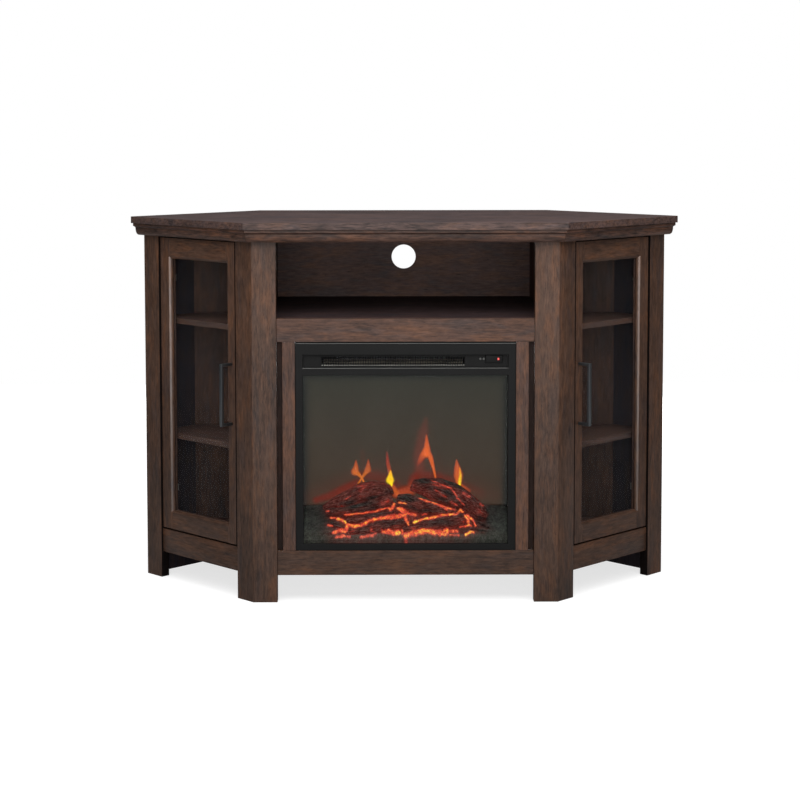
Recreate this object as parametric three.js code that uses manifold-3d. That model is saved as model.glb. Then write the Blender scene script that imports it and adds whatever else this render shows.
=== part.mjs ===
// Corner television stand with glass doors, an open media bay and an electric fireplace insert.
// Units are millimetres, +Z is up, the front faces -Y.
// The origin is on the floor under the middle of the top's outline.
// Plan coordinates below have Y = 0 at the front posts' face; one group moves them to the origin.
import * as THREE from 'three';
import { mergeVertices } from 'three/addons/utils/BufferGeometryUtils.js';
import Module from 'manifold-3d';

const wasm = await Module();
wasm.setup();

// Clearances and cutting
const fit = 0.3;
const overrun = 3;

// Overall sizes
const overall = {
  frontWidth: 650,
  sideLength: 366.5,
  height: 812.8,
  overhang: 36,
  slant: Math.PI / 4,
};

// Posts and feet
const post = {
  face: 51.5,
  frontThickness: 22,
  outerThickness: 21,
  outerInset: 0.5,
};

// Flat boards of the case
const board = {
  slab: 15,
  panel: 16,
  cupboardBack: 12,
  shelf: 12,
  mediaBack: 4,
  wallInset: 4,
  wallFootLength: 60,
  wallRelief: 4,
  cupboardBehindCorner: 100,
};

// Crown moulding under the slab
const crown = {
  height: 26.5,
  backing: 12,
  filletHeight: 6,
  filletInset: 5.5,
  quirkHeight: 3.2,
  beadInset: 12,
  footInset: 19.5,
  footLip: 0.8,
  beadSteps: 7,
};

// Rails between the posts
const rail = {
  thickness: 18,
  setback: 4,
  low: 58,
  bottomHeight: 52.5,
  midHeight: 49.3,
};

// Open media bay between mid rail and top
const mediaBay = {
  height: 189.4,
};

// Cupboard shelves, placed by their share of the inner height
const cupboard = {
  lowerShelfShare: 0.316,
  upperShelfShare: 0.693,
  shelfSetback: 26,
};

// Cable hole of the media bay
const cableHole = {
  radius: 28.5,
  segments: 40,
};

// Doors
const door = {
  thickness: 18,
  setback: 4,
  sideGap: 2.3,
  endGap: 4,
  stile: 34,
  topRail: 46,
  bottomRail: 42,
  bevel: 5.5,
  rebateDepth: 9,
  rebateWidth: 5,
  glass: 3,
};

// Door handles
const handle = {
  bar: 7,
  length: 135,
  projection: 32,
  footHeight: 6,
};

// Concealed hinges
const hinge = {
  endDistance: 90,
  cupRadius: 12,
  cupDepth: 11,
  cupInset: 16,
  flangeHalfHeight: 24,
  flangeHalfWidth: 13,
  flange: 1.5,
  plate: 2.5,
  plateWidth: 28,
  plateInset: 4,
  armHalfHeight: 7.5,
  armReach: 8,
  armThickness: 6,
  play: 0.5,
  segments: 28,
};

// Fireplace insert, its face frame first
const insert = {
  topGap: 3.3,
  faceSetback: 6,
  frame: 10,
  frameSide: 16.5,
  frameBottom: 13.6,
  bridge: 16,
  slotHeight: 28,
  frameTop: 24.8,
  glass: 4,
  glassLap: 5,
  housingSideGap: 8,
  housingTopGap: 3.5,
  sheet: 1.5,
  trayDrop: 9.7,
};

// Filler panels beside the insert
const filler = {
  width: 39.5,
  thickness: 16,
  stepWidth: 12,
  stepDepth: 10,
};

// Fascia strip in the slot of the face frame
const fascia = {
  recess: 6,
  thickness: 2,
  grilleLeftGap: 37.2,
  grilleRightGap: 89.9,
  grilleMargin: 2,
};

// Outlet grille
const grille = {
  thickness: 3,
  rim: 2,
  pitch: 5.2,
  slat: 1.9,
};

// Power rocker, pivoting about an upright axis
const rocker = {
  endGap: 29.9,
  rise: 4.5,
  halfWidth: 17.6,
  halfHeight: 7.8,
  play: 0.8,
  pivotDepth: 8,
  crestShare: 0.55,
  endShare: 0.4,
  tailShare: 0.65,
  bodyDepth: 8,
};

// Two small push buttons
const button = {
  endGap: 55.2,
  pitch: 7.2,
  radius: 2.3,
  flangeRadius: 3.1,
  flange: 1.5,
  proud: 1.2,
  segments: 20,
};

// Heating element behind the grille
const element = {
  setback: 22,
  strip: 2,
  ribDepth: 9,
  ribPitch: 10.4,
  rib: 1.2,
  margin: 6,
  height: 22,
};

// Cross-flow blower
const blower = {
  leftGap: 74.5,
  rightGap: 136.5,
  depth: 98,
  rise: 27.5,
  radius: 22,
  shaftRadius: 3,
  discs: 4,
  disc: 2,
  blades: 16,
  blade: 1.2,
  bladeWidth: 7,
  shaftLength: 10,
  motorRadius: 19,
  motorLength: 34,
  motorFoot: 22,
  bracketWidth: 30,
  segments: 24,
};

// Flame screen and bed
const fire = {
  screenDepth: 120,
  screen: 3,
  screenRise: 77.7,
  bedSheet: 3,
  bedFrontRise: 18.7,
  bedRearRise: 83.2,
  logSides: 12,
  logRings: 7,
  logLobes: 3,
};

// Logs lying on the bed, with centre and length as shares of the chamber's half width
const leftLog = {
  placeShare: -0.436,
  slopeDistance: 80,
  turnDegrees: 14,
  lengthShare: 0.748,
  outerRadius: 21,
  innerRadius: 25,
};
const rightLog = {
  placeShare: 0.41,
  slopeDistance: 70,
  turnDegrees: -24,
  lengthShare: 0.735,
  outerRadius: 21,
  innerRadius: 26,
};
const logLobeShare = 0.09;
const logSwellShare = 0.06;

// Flame spindle with its reflecting strips
const spindle = {
  clearance: 8.75,
  rise: 49.7,
  radius: 2.5,
  stripLength: 21,
  strip: 1.2,
  stripWidth: 12,
  strips: 18,
  turn: Math.PI / 4,
  margin: 14,
  motorRadius: 15,
  motorLength: 18,
  segments: 12,
};

// Lamp board on the floor of the housing
const lamps = {
  endGap: 44.5,
  depth: 40,
  width: 18,
  thickness: 1.6,
  count: 7,
  lampRadius: 4,
  lampHeight: 7,
  segments: 16,
};

// Power inlet gland in the housing's rear
const gland = {
  sideGap: 54.5,
  rise: 29.7,
  holeRadius: 7,
  boreRadius: 4,
  flangeRadius: 11,
  flange: 3,
  boss: 11,
  bossRadius: 8,
  neck: 6,
  segments: 24,
};

// Rear vent slots of the housing
const vents = {
  count: 16,
  pitch: 22,
  width: 4,
  lowGap: 9.5,
  highGap: 10.5,
};

// Places that follow from the sizes above
const cosSlant = Math.cos(overall.slant);
const sinSlant = Math.sin(overall.slant);
const mitre = Math.tan(overall.slant / 2);
const slabLow = overall.height - board.slab;
const caseTop = slabLow - fit;
const crownLow = slabLow - fit - crown.height;
const postTop = crownLow - fit;
const creaseHalf = overall.frontWidth / 2;
const sideEnd = overall.sideLength;
const cornerX = creaseHalf + (sideEnd + overall.overhang) * cosSlant;
const cornerY = sideEnd * sinSlant - overall.overhang * cosSlant;
const backY = 2 * cornerY + overall.overhang;
const frontHalf = creaseHalf + overall.overhang * mitre;
const wallOuter = sideEnd - board.wallInset;
const wallInner = wallOuter - board.panel;
const caseRear = backY - board.wallInset;
const outerPostIn = sideEnd - post.outerInset - post.face;
const dividerHalf = creaseHalf - post.frontThickness * mitre - 2 * fit - board.panel;
const cupboardRear = cornerY + board.cupboardBehindCorner;
const bottomTop = rail.low + rail.bottomHeight;
const floorTop = bottomTop + fit;
const midTop = caseTop - mediaBay.height;
const midLow = midTop - rail.midHeight;
const mediaRear = caseRear - board.mediaBack;
const doorNear = post.face + door.sideGap;
const doorFar = outerPostIn - door.sideGap;
const doorLow = bottomTop + door.endGap;
const doorHigh = crownLow - door.endGap;
const doorRear = door.setback + door.thickness;

// Points and outlines
function sidePoint(side, along, inward) {
  const x = creaseHalf + along * cosSlant - inward * sinSlant;
  return [side * x, along * sinSlant + inward * cosSlant];
}

function wallPointAtY(side, along, y) {
  return sidePoint(side, along, (y - along * sinSlant) / cosSlant);
}

function insidePointAtX(side, x, inward) {
  return sidePoint(side, (x - creaseHalf + inward * sinSlant) / cosSlant, inward);
}

function shapeOf(points) {
  return new THREE.Shape(points.map(([x, y]) => new THREE.Vector2(x, y)));
}

function rectangle(left, right, low, high) {
  return [[left, low], [right, low], [right, high], [left, high]];
}

// Upright prism on a plan outline
function prism(points, low, high) {
  const geometry = new THREE.ExtrudeGeometry(shapeOf(points), { depth: high - low, bevelEnabled: false });
  return geometry.translate(0, 0, low);
}

// Plate standing in the XZ plane, with openings, from one depth to another
function uprightPlate(points, openings, near, far) {
  const shape = shapeOf(points);
  openings.forEach((opening) => {
    shape.holes.push(new THREE.Path(opening.map(([x, z]) => new THREE.Vector2(x, z))));
  });
  const geometry = new THREE.ExtrudeGeometry(shape, { depth: far - near, bevelEnabled: false });
  return geometry.rotateX(Math.PI / 2).translate(0, far, 0);
}

// Bar along X on an outline of depth and height
function alongX(points, left, right) {
  const geometry = new THREE.ExtrudeGeometry(shapeOf(points), { depth: right - left, bevelEnabled: false });
  return geometry.rotateY(Math.PI / 2).rotateX(Math.PI / 2).translate(left, 0, 0);
}

function block(left, right, near, far, low, high) {
  const geometry = new THREE.BoxGeometry(right - left, far - near, high - low);
  return geometry.translate((left + right) / 2, (near + far) / 2, (low + high) / 2);
}

function rodAlongX(radius, left, right, y, z, segments) {
  const geometry = new THREE.CylinderGeometry(radius, radius, right - left, segments);
  return geometry.rotateZ(Math.PI / 2).translate((left + right) / 2, y, z);
}

function rodAlongY(radius, near, far, x, z, segments) {
  const geometry = new THREE.CylinderGeometry(radius, radius, far - near, segments);
  return geometry.translate(x, (near + far) / 2, z);
}

// Closed skin through rings of equal count, capped at both ends
function skin(rings) {
  const count = rings[0].length;
  const positions = rings.flat().flatMap((p) => [p.x, p.y, p.z]);
  const index = [];
  for (let r = 0; r + 1 < rings.length; r += 1) {
    for (let i = 0; i < count; i += 1) {
      const j = (i + 1) % count;
      const a = r * count + i;
      const b = r * count + j;
      index.push(a, b, b + count, a, b + count, a + count);
    }
  }
  const normal = new THREE.Vector3();
  const across = rings[0][1].clone().sub(rings[0][0]).normalize();
  rings[0].forEach((p, i) => normal.add(p.clone().cross(rings[0][(i + 1) % count])));
  normal.normalize();
  const up = normal.clone().cross(across);
  const flat = rings[0].map((p) => new THREE.Vector2(p.dot(across), p.dot(up)));
  const last = (rings.length - 1) * count;
  THREE.ShapeUtils.triangulateShape(flat, []).forEach(([a, b, c]) => {
    index.push(a, c, b);
    index.push(last + a, last + b, last + c);
  });
  const geometry = new THREE.BufferGeometry();
  geometry.setAttribute('position', new THREE.Float32BufferAttribute(positions, 3));
  geometry.setIndex(index);
  return outward(geometry);
}

function signedVolume(geometry) {
  const position = geometry.attributes.position;
  const index = geometry.index.array;
  const [a, b, c] = [new THREE.Vector3(), new THREE.Vector3(), new THREE.Vector3()];
  let volume = 0;
  for (let i = 0; i < index.length; i += 3) {
    a.fromBufferAttribute(position, index[i]);
    b.fromBufferAttribute(position, index[i + 1]);
    c.fromBufferAttribute(position, index[i + 2]);
    volume += a.dot(b.cross(c));
  }
  return volume;
}

function outward(geometry) {
  if (signedVolume(geometry) < 0) {
    const index = geometry.index.array;
    for (let i = 0; i < index.length; i += 3) {
      [index[i + 1], index[i + 2]] = [index[i + 2], index[i + 1]];
    }
  }
  return geometry;
}

// Booleans
function solid(geometry) {
  const bare = geometry.clone();
  bare.deleteAttribute('normal');
  bare.deleteAttribute('uv');
  const merged = mergeVertices(bare);
  return new wasm.Manifold(new wasm.Mesh({
    numProp: 3,
    vertProperties: Float32Array.from(merged.attributes.position.array),
    triVerts: Uint32Array.from(merged.index.array),
  }));
}

function geometryOf(manifold) {
  const mesh = manifold.getMesh();
  const geometry = new THREE.BufferGeometry();
  geometry.setAttribute('position', new THREE.Float32BufferAttribute(mesh.vertProperties, 3));
  geometry.setIndex(Array.from(mesh.triVerts));
  return geometry;
}

function joined(geometries) {
  return geometries.map(solid).reduce((sum, next) => sum.add(next));
}

function cut(base, tools) {
  return geometryOf(tools.reduce((left, tool) => left.subtract(solid(tool)), joined(base)));
}

// Finishes
const finishes = {
  wood: { color: 0x4a352c, roughness: 0.5, metalness: 0 },
  woodInside: { color: 0x35271f, roughness: 0.6, metalness: 0 },
  glass: { color: 0x20242a, roughness: 0.05, metalness: 0, transparent: true, opacity: 0.35 },
  handle: { color: 0x3a3f43, roughness: 0.35, metalness: 0.9 },
  steel: { color: 0xb9bbbc, roughness: 0.35, metalness: 0.9 },
  black: { color: 0x1d1d1c, roughness: 0.45, metalness: 0.2 },
  blackPlastic: { color: 0x242423, roughness: 0.5, metalness: 0 },
  element: { color: 0x8b8679, roughness: 0.4, metalness: 0.8 },
  screen: { color: 0x4a3d33, roughness: 0.7, metalness: 0 },
  log: { color: 0x3a2722, roughness: 0.9, metalness: 0 },
  ember: { color: 0x5a5752, roughness: 0.95, metalness: 0 },
  board: { color: 0x2e5d3a, roughness: 0.6, metalness: 0 },
};

function piece(name, geometry, finish) {
  const mesh = new THREE.Mesh(geometry, new THREE.MeshStandardMaterial(finishes[finish]));
  mesh.name = name;
  return mesh;
}

function sideName(side) {
  return side < 0 ? 'left' : 'right';
}

const sides = [-1, 1];

// Group whose X runs out along one slanted side from its crease and whose Y runs into the case
function sideGroup(side) {
  const group = new THREE.Group();
  group.position.set(side * creaseHalf, 0, 0);
  group.rotation.z = side * overall.slant;
  return group;
}

function sideBlock(side, near, far, front, rear, low, high) {
  const [left, right] = side < 0 ? [-far, -near] : [near, far];
  return block(left, right, front, rear, low, high);
}

// Top slab
function topSlab() {
  const outline = [
    [-frontHalf, -overall.overhang], [frontHalf, -overall.overhang], [cornerX, cornerY],
    [frontHalf, backY], [-frontHalf, backY], [-cornerX, cornerY],
  ];
  return piece('top_slab', prism(outline, slabLow, overall.height), 'wood');
}

// Crown profile as pairs of distance out from the post faces and height
function crownProfile() {
  const filletOut = overall.overhang - crown.filletInset;
  const beadOut = overall.overhang - crown.beadInset;
  const footOut = overall.overhang - crown.footInset;
  const crownHigh = crownLow + crown.height;
  const filletLow = crownHigh - crown.filletHeight;
  const beadHigh = filletLow - crown.quirkHeight;
  const beadHeight = beadHigh - crownLow - crown.footLip;
  const bead = [];
  for (let i = 0; i <= crown.beadSteps; i += 1) {
    const turn = (Math.PI / 2) * (1 - i / crown.beadSteps);
    bead.push([footOut + (beadOut - footOut) * Math.cos(turn), beadHigh - beadHeight * Math.sin(turn)]);
  }
  return [
    [-crown.backing, crownLow], [footOut, crownLow], ...bead,
    [filletOut, filletLow], [filletOut, crownHigh], [-crown.backing, crownHigh],
  ];
}

function crownPieces() {
  const profile = crownProfile();
  const frontEnd = (side) => profile.map(([out, z]) => {
    const x = creaseHalf + out * mitre - fit;
    return new THREE.Vector3(side * x, -out, z);
  });
  const pieces = [piece('crown_front', skin([frontEnd(-1), frontEnd(1)]), 'wood')];
  sides.forEach((side) => {
    const near = profile.map(([out, z]) => {
      const [x, y] = sidePoint(side, fit - out * mitre, -out);
      return new THREE.Vector3(x, y, z);
    });
    const far = profile.map(([out, z]) => {
      const [x, y] = sidePoint(side, sideEnd - post.outerInset, -out);
      return new THREE.Vector3(x, y, z);
    });
    pieces.push(piece(`crown_${sideName(side)}`, skin([near, far]), 'wood'));
  });
  return pieces;
}

// Posts
function frontPost(side) {
  const inner = creaseHalf - post.face;
  const outline = [
    [side * inner, 0], [side * creaseHalf, 0], sidePoint(side, post.face, 0),
    sidePoint(side, post.face, post.frontThickness),
    [side * (creaseHalf - post.frontThickness * mitre), post.frontThickness],
    [side * inner, post.frontThickness],
  ];
  return piece(`front_${sideName(side)}_post`, prism(outline, 0, postTop), 'wood');
}

function outerPost(side) {
  const far = outerPostIn + post.face;
  const geometry = sideBlock(side, outerPostIn, far, 0, post.outerThickness, 0, postTop);
  return piece(`outer_${sideName(side)}_post`, geometry, 'wood');
}

// Case panels
function wallPanel(side) {
  const front = post.outerThickness + fit;
  const outline = [
    sidePoint(side, wallInner, front), sidePoint(side, wallOuter, front),
    wallPointAtY(side, wallOuter, caseRear), wallPointAtY(side, wallInner, caseRear),
  ];
  const footStart = caseRear - board.wallFootLength;
  const relief = [
    sidePoint(side, wallInner - overrun, front - overrun), sidePoint(side, wallOuter + overrun, front - overrun),
    wallPointAtY(side, wallOuter + overrun, footStart), wallPointAtY(side, wallInner - overrun, footStart),
  ];
  const geometry = cut([prism(outline, 0, caseTop)], [prism(relief, -overrun, board.wallRelief)]);
  return piece(`${sideName(side)}_wall_panel`, geometry, 'wood');
}

function divider(side) {
  const outer = dividerHalf + board.panel;
  const outline = rectangle(dividerHalf, outer, post.frontThickness + fit, mediaRear - fit);
  const placed = outline.map(([x, y]) => [side * x, y]);
  return piece(`${sideName(side)}_divider`, prism(placed, floorTop, caseTop), 'woodInside');
}

function cupboardBack(side) {
  const near = dividerHalf + board.panel + fit;
  const front = cupboardRear;
  const rear = front + board.cupboardBack;
  const outline = [
    [side * near, front], wallPointAtY(side, wallInner - fit, front),
    wallPointAtY(side, wallInner - fit, rear), [side * near, rear],
  ];
  return piece(`${sideName(side)}_cupboard_back`, prism(outline, floorTop, caseTop), 'woodInside');
}

function cupboardShelf(side, level, share) {
  const top = floorTop + share * (caseTop - floorTop);
  const near = dividerHalf + board.panel + fit;
  const rear = cupboardRear - fit;
  const outline = [
    insidePointAtX(side, near, cupboard.shelfSetback), sidePoint(side, wallInner - fit, cupboard.shelfSetback),
    wallPointAtY(side, wallInner - fit, rear), [side * near, rear],
  ];
  const name = `${sideName(side)}_${level}_shelf`;
  return piece(name, prism(outline, top - board.shelf, top), 'woodInside');
}

function bottomPanel() {
  const front = post.frontThickness + fit;
  const halfFront = creaseHalf - front * mitre;
  const rightHalf = [
    [halfFront, front], sidePoint(1, wallInner - fit, front), wallPointAtY(1, wallInner - fit, caseRear),
  ];
  const leftHalf = rightHalf.map(([x, y]) => [-x, y]).reverse();
  const outline = [...rightHalf, ...leftHalf];
  return piece('bottom_panel', prism(outline, bottomTop - board.panel, bottomTop), 'woodInside');
}

function mediaShelf() {
  const half = dividerHalf - fit;
  const outline = rectangle(-half, half, rail.setback + rail.thickness + fit, mediaRear - fit);
  return piece('media_shelf', prism(outline, midTop - board.panel, midTop), 'woodInside');
}

function circle(x, z, radius, segments) {
  const points = [];
  for (let i = 0; i < segments; i += 1) {
    const angle = (2 * Math.PI * i) / segments;
    points.push([x + radius * Math.cos(angle), z + radius * Math.sin(angle)]);
  }
  return points;
}

function mediaBack() {
  const half = dividerHalf + board.panel - 2 * fit;
  const outline = rectangle(-half, half, midTop - board.panel, caseTop);
  const hole = circle(0, (midTop + caseTop) / 2, cableHole.radius, cableHole.segments);
  return piece('media_back_panel', uprightPlate(outline, [hole], mediaRear, caseRear), 'woodInside');
}

// Rails
function frontRail(name, low, high) {
  const half = creaseHalf - post.face - fit;
  const geometry = block(-half, half, rail.setback, rail.setback + rail.thickness, low, high);
  return piece(name, geometry, 'wood');
}

function sideRail(side) {
  const rear = rail.setback + rail.thickness;
  const [near, far] = [post.face + fit, outerPostIn - fit];
  const geometry = sideBlock(side, near, far, rail.setback, rear, rail.low, bottomTop);
  return piece(`${sideName(side)}_bottom_rail`, geometry, 'wood');
}

function fillerPanel(side) {
  const near = insertHalf + fit;
  const far = bayHalf - fit;
  const step = far - filler.stepWidth;
  const front = rail.setback;
  const rear = front + filler.thickness;
  const stepFront = front + filler.stepDepth;
  const outline = [
    [near, front], [step, front], [step, stepFront], [far, stepFront], [far, rear], [near, rear],
  ];
  const placed = outline.map(([x, y]) => [side * x, y]);
  return piece(`${sideName(side)}_filler`, prism(placed, floorTop, midLow - fit), 'wood');
}

// Door of one side, built in that side's group
function doorFrame(side) {
  const openNear = doorNear + door.stile;
  const openFar = doorFar - door.stile;
  const openLow = doorLow + door.bottomRail;
  const openHigh = doorHigh - door.topRail;
  const ring = (grow, depth) => {
    const edges = rectangle(openNear - grow, openFar + grow, openLow - grow, openHigh + grow);
    return edges.map(([along, z]) => new THREE.Vector3(side * along, depth, z));
  };
  const rebateFront = door.setback + door.rebateDepth;
  const lap = door.rebateWidth;
  const bevelStep = door.bevel + overrun;
  const tools = [
    skin([ring(bevelStep, door.setback - overrun), ring(0, door.setback + door.bevel)]),
    skin([ring(0, door.setback), ring(0, doorRear + overrun)]),
    skin([ring(lap, rebateFront), ring(lap, doorRear + overrun)]),
  ];
  hingeHeights().forEach((height) => {
    const x = side * (doorFar - hinge.cupInset);
    const bore = hinge.cupRadius + fit;
    const boreEnd = doorRear - hinge.cupDepth - fit;
    tools.push(rodAlongY(bore, boreEnd, doorRear + overrun, x, height, hinge.segments));
  });
  const base = sideBlock(side, doorNear, doorFar, door.setback, doorRear, doorLow, doorHigh);
  return piece(`${sideName(side)}_door_frame`, cut([base], tools), 'wood');
}

function doorGlass(side) {
  const lap = door.rebateWidth - fit;
  const front = door.setback + door.rebateDepth + fit;
  const geometry = sideBlock(
    side, doorNear + door.stile - lap, doorFar - door.stile + lap, front, front + door.glass,
    doorLow + door.bottomRail - lap, doorHigh - door.topRail + lap,
  );
  return piece(`${sideName(side)}_door_glass`, geometry, 'glass');
}

function doorHandle(side) {
  const centre = doorNear + door.stile / 2;
  const near = centre - handle.bar / 2;
  const far = centre + handle.bar / 2;
  const front = door.setback - handle.projection;
  const low = (doorLow + doorHigh) / 2 - handle.length / 2;
  const high = low + handle.length;
  const footEnd = door.setback - fit;
  const parts = [
    sideBlock(side, near, far, front, front + handle.bar, low, high),
    sideBlock(side, near, far, front, footEnd, low, low + handle.footHeight),
    sideBlock(side, near, far, front, footEnd, high - handle.footHeight, high),
  ];
  return piece(`${sideName(side)}_door_handle`, geometryOf(joined(parts)), 'handle');
}

function hingeHeights() {
  return [doorLow + hinge.endDistance, doorHigh - hinge.endDistance];
}

function hingeLevel(index) {
  return index === 0 ? 'lower' : 'upper';
}

function hingeCup(side, height, index) {
  const centre = doorFar - hinge.cupInset;
  const flangeFront = doorRear + fit;
  const flangeRear = flangeFront + hinge.flange;
  const cupFront = doorRear - hinge.cupDepth;
  const cup = rodAlongY(hinge.cupRadius, cupFront, flangeRear, side * centre, height, hinge.segments);
  const flange = sideBlock(
    side, centre - hinge.flangeHalfWidth, centre + hinge.flangeHalfWidth, flangeFront, flangeRear,
    height - hinge.flangeHalfHeight, height + hinge.flangeHalfHeight,
  );
  const name = `${sideName(side)}_${hingeLevel(index)}_hinge_cup`;
  return piece(name, geometryOf(joined([cup, flange])), 'steel');
}

function hingeArm(side, height, index) {
  const plateNear = outerPostIn + hinge.plateInset;
  const plateFront = post.outerThickness + fit;
  const armFront = doorRear + fit + hinge.flange + hinge.play;
  const plate = sideBlock(
    side, plateNear, plateNear + hinge.plateWidth, plateFront, armFront + hinge.plate,
    height - hinge.flangeHalfHeight, height + hinge.flangeHalfHeight,
  );
  const arm = sideBlock(
    side, doorFar - hinge.cupInset - hinge.armReach, plateNear + hinge.plateWidth / 2,
    armFront, armFront + hinge.armThickness, height - hinge.armHalfHeight, height + hinge.armHalfHeight,
  );
  const name = `${sideName(side)}_${hingeLevel(index)}_hinge_arm`;
  return piece(name, geometryOf(joined([plate, arm])), 'steel');
}

// Fireplace insert
const bayHalf = creaseHalf - post.face;
const insertHalf = bayHalf - filler.width;
const insertTop = midLow - insert.topGap;
const windowHalf = insertHalf - insert.frameSide;
const slotHigh = insertTop - insert.frameTop;
const slotLow = slotHigh - insert.slotHeight;
const windowHigh = slotLow - insert.bridge;
const windowLow = floorTop + insert.frameBottom;
const housingHalf = insertHalf - insert.housingSideGap;
const housingTop = insertTop - insert.housingTopGap;
const trayLow = slotLow - insert.trayDrop;
const frameRear = insert.faceSetback + insert.frame;
const glassFront = frameRear + fit;
const housingFront = glassFront + insert.glass + fit;
const screenFront = housingFront + fire.screenDepth;
const spindleDepth = screenFront + fire.screen + spindle.clearance + spindle.stripLength;
const housingRear = spindleDepth + spindle.stripLength + spindle.clearance + insert.sheet;
const housingLow = floorTop;
const chamberHalf = housingHalf - insert.sheet;
const chamberLow = housingLow + insert.sheet;
const trayTop = trayLow + insert.sheet;
const fasciaFront = insert.faceSetback + fascia.recess;
const fasciaRear = fasciaFront + fascia.thickness;
const grilleLeft = -windowHalf + fascia.grilleLeftGap;
const grilleRight = windowHalf - fascia.grilleRightGap;
const rockerPlace = windowHalf - rocker.endGap;
const controlHeight = (slotLow + slotHigh) / 2 + rocker.rise;
const bedFrontHeight = chamberLow + fire.bedFrontRise;
const bedRearHeight = chamberLow + fire.bedRearRise;
const wheelLeft = -chamberHalf + blower.leftGap;
const wheelRight = chamberHalf - blower.rightGap;
const wheelHeight = trayTop + blower.rise;
const spindleHeight = chamberLow + spindle.rise;
const glandX = chamberHalf - gland.sideGap;
const glandHeight = chamberLow + gland.rise;

function frontFrame() {
  const outline = rectangle(-insertHalf, insertHalf, floorTop, insertTop);
  const window = rectangle(-windowHalf, windowHalf, windowLow, windowHigh);
  const slot = rectangle(-windowHalf, windowHalf, slotLow, slotHigh);
  const geometry = uprightPlate(outline, [window, slot], insert.faceSetback, frameRear);
  return piece('insert_front_frame', geometry, 'black');
}

function insertGlass() {
  const lap = insert.glassLap;
  const half = windowHalf + lap;
  const geometry = block(
    -half, half, glassFront, glassFront + insert.glass, windowLow - lap, windowHigh + lap,
  );
  return piece('insert_glass', geometry, 'glass');
}

function housing() {
  const shell = [block(-housingHalf, housingHalf, housingFront, housingRear, housingLow, housingTop)];
  const back = housingRear - insert.sheet;
  const ventLow = trayTop + vents.lowGap;
  const ventHigh = housingTop - insert.sheet - vents.highGap;
  const tools = [
    block(-chamberHalf, chamberHalf, housingFront - overrun, back, chamberLow, trayLow),
    block(-chamberHalf, chamberHalf, housingFront - overrun, back, trayTop, housingTop - insert.sheet),
    rodAlongY(gland.holeRadius, back - overrun, housingRear + overrun, glandX, glandHeight, gland.segments),
  ];
  for (let i = 0; i < vents.count; i += 1) {
    const x = (i - (vents.count - 1) / 2) * vents.pitch;
    const [left, right] = [x - vents.width / 2, x + vents.width / 2];
    tools.push(block(left, right, back - overrun, housingRear + overrun, ventLow, ventHigh));
  }
  const bracketRight = wheelLeft - blower.shaftLength - fit;
  const bracket = block(
    bracketRight - insert.sheet, bracketRight,
    blower.depth - blower.bracketWidth / 2, blower.depth + blower.bracketWidth / 2,
    trayTop - insert.sheet / 2, wheelHeight + blower.bracketWidth / 2,
  );
  const hollow = tools.reduce((left, tool) => left.subtract(solid(tool)), joined(shell));
  return piece('insert_housing', geometryOf(hollow.add(solid(bracket))), 'black');
}

function grilleOpening(margin) {
  return rectangle(
    grilleLeft + margin, grilleRight - margin,
    slotLow + fascia.grilleMargin + margin, slotHigh - fascia.grilleMargin - margin,
  );
}

function controlFascia() {
  const half = windowHalf - fit;
  const outline = rectangle(-half, half, slotLow + fit, slotHigh - fit);
  const rockerHole = rectangle(
    rockerPlace - rocker.halfWidth - rocker.play, rockerPlace + rocker.halfWidth + rocker.play,
    controlHeight - rocker.halfHeight - fit, controlHeight + rocker.halfHeight + fit,
  );
  const holes = [grilleOpening(0), rockerHole];
  buttonPlaces().forEach((x) => holes.push(circle(x, controlHeight, button.radius + fit, button.segments)));
  return piece('control_fascia', uprightPlate(outline, holes, fasciaFront, fasciaRear), 'blackPlastic');
}

function heaterGrille() {
  const outline = grilleOpening(fit);
  const [left, low] = outline[0];
  const [right, high] = outline[2];
  const span = right - left - 2 * grille.rim;
  const count = Math.round(span / grille.pitch);
  const step = (span + grille.slat) / count;
  const [gapLow, gapHigh] = [low + grille.rim, high - grille.rim];
  const gaps = [];
  for (let i = 0; i < count; i += 1) {
    const start = left + grille.rim + i * step;
    const end = start + step - grille.slat;
    gaps.push(block(start, end, fasciaFront - overrun, fasciaRear + overrun, gapLow, gapHigh));
  }
  const plate = block(left, right, fasciaFront, fasciaFront + grille.thickness, low, high);
  return piece('heater_grille', cut([plate], gaps), 'black');
}

function powerRocker() {
  const half = rocker.halfWidth;
  const pivot = fasciaFront + rocker.pivotDepth - insert.faceSetback;
  const front = insert.faceSetback;
  const shoulder = fasciaRear + rocker.crestShare * rocker.bodyDepth;
  const outline = [
    [-half, front + rocker.endShare * rocker.pivotDepth],
    [0, front + rocker.crestShare * rocker.pivotDepth],
    [half, front + rocker.endShare * rocker.pivotDepth], [half, shoulder],
    [rocker.tailShare * half, pivot + rocker.bodyDepth],
    [-rocker.tailShare * half, pivot + rocker.bodyDepth],
    [-half, shoulder],
  ];
  const placed = outline.map(([x, y]) => [rockerPlace + x, y]);
  const low = controlHeight - rocker.halfHeight;
  return piece('power_rocker', prism(placed, low, controlHeight + rocker.halfHeight), 'blackPlastic');
}

function buttonPlaces() {
  const centre = windowHalf - button.endGap;
  return [centre - button.pitch / 2, centre + button.pitch / 2];
}

function pushButton(name, x) {
  const front = fasciaFront - button.proud;
  const flangeFront = fasciaRear + fit;
  const cap = rodAlongY(button.radius, front, flangeFront + button.flange, x, controlHeight, button.segments);
  const flange = rodAlongY(
    button.flangeRadius, flangeFront, flangeFront + button.flange, x, controlHeight, button.segments,
  );
  return piece(name, geometryOf(joined([cap, flange])), 'blackPlastic');
}

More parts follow.
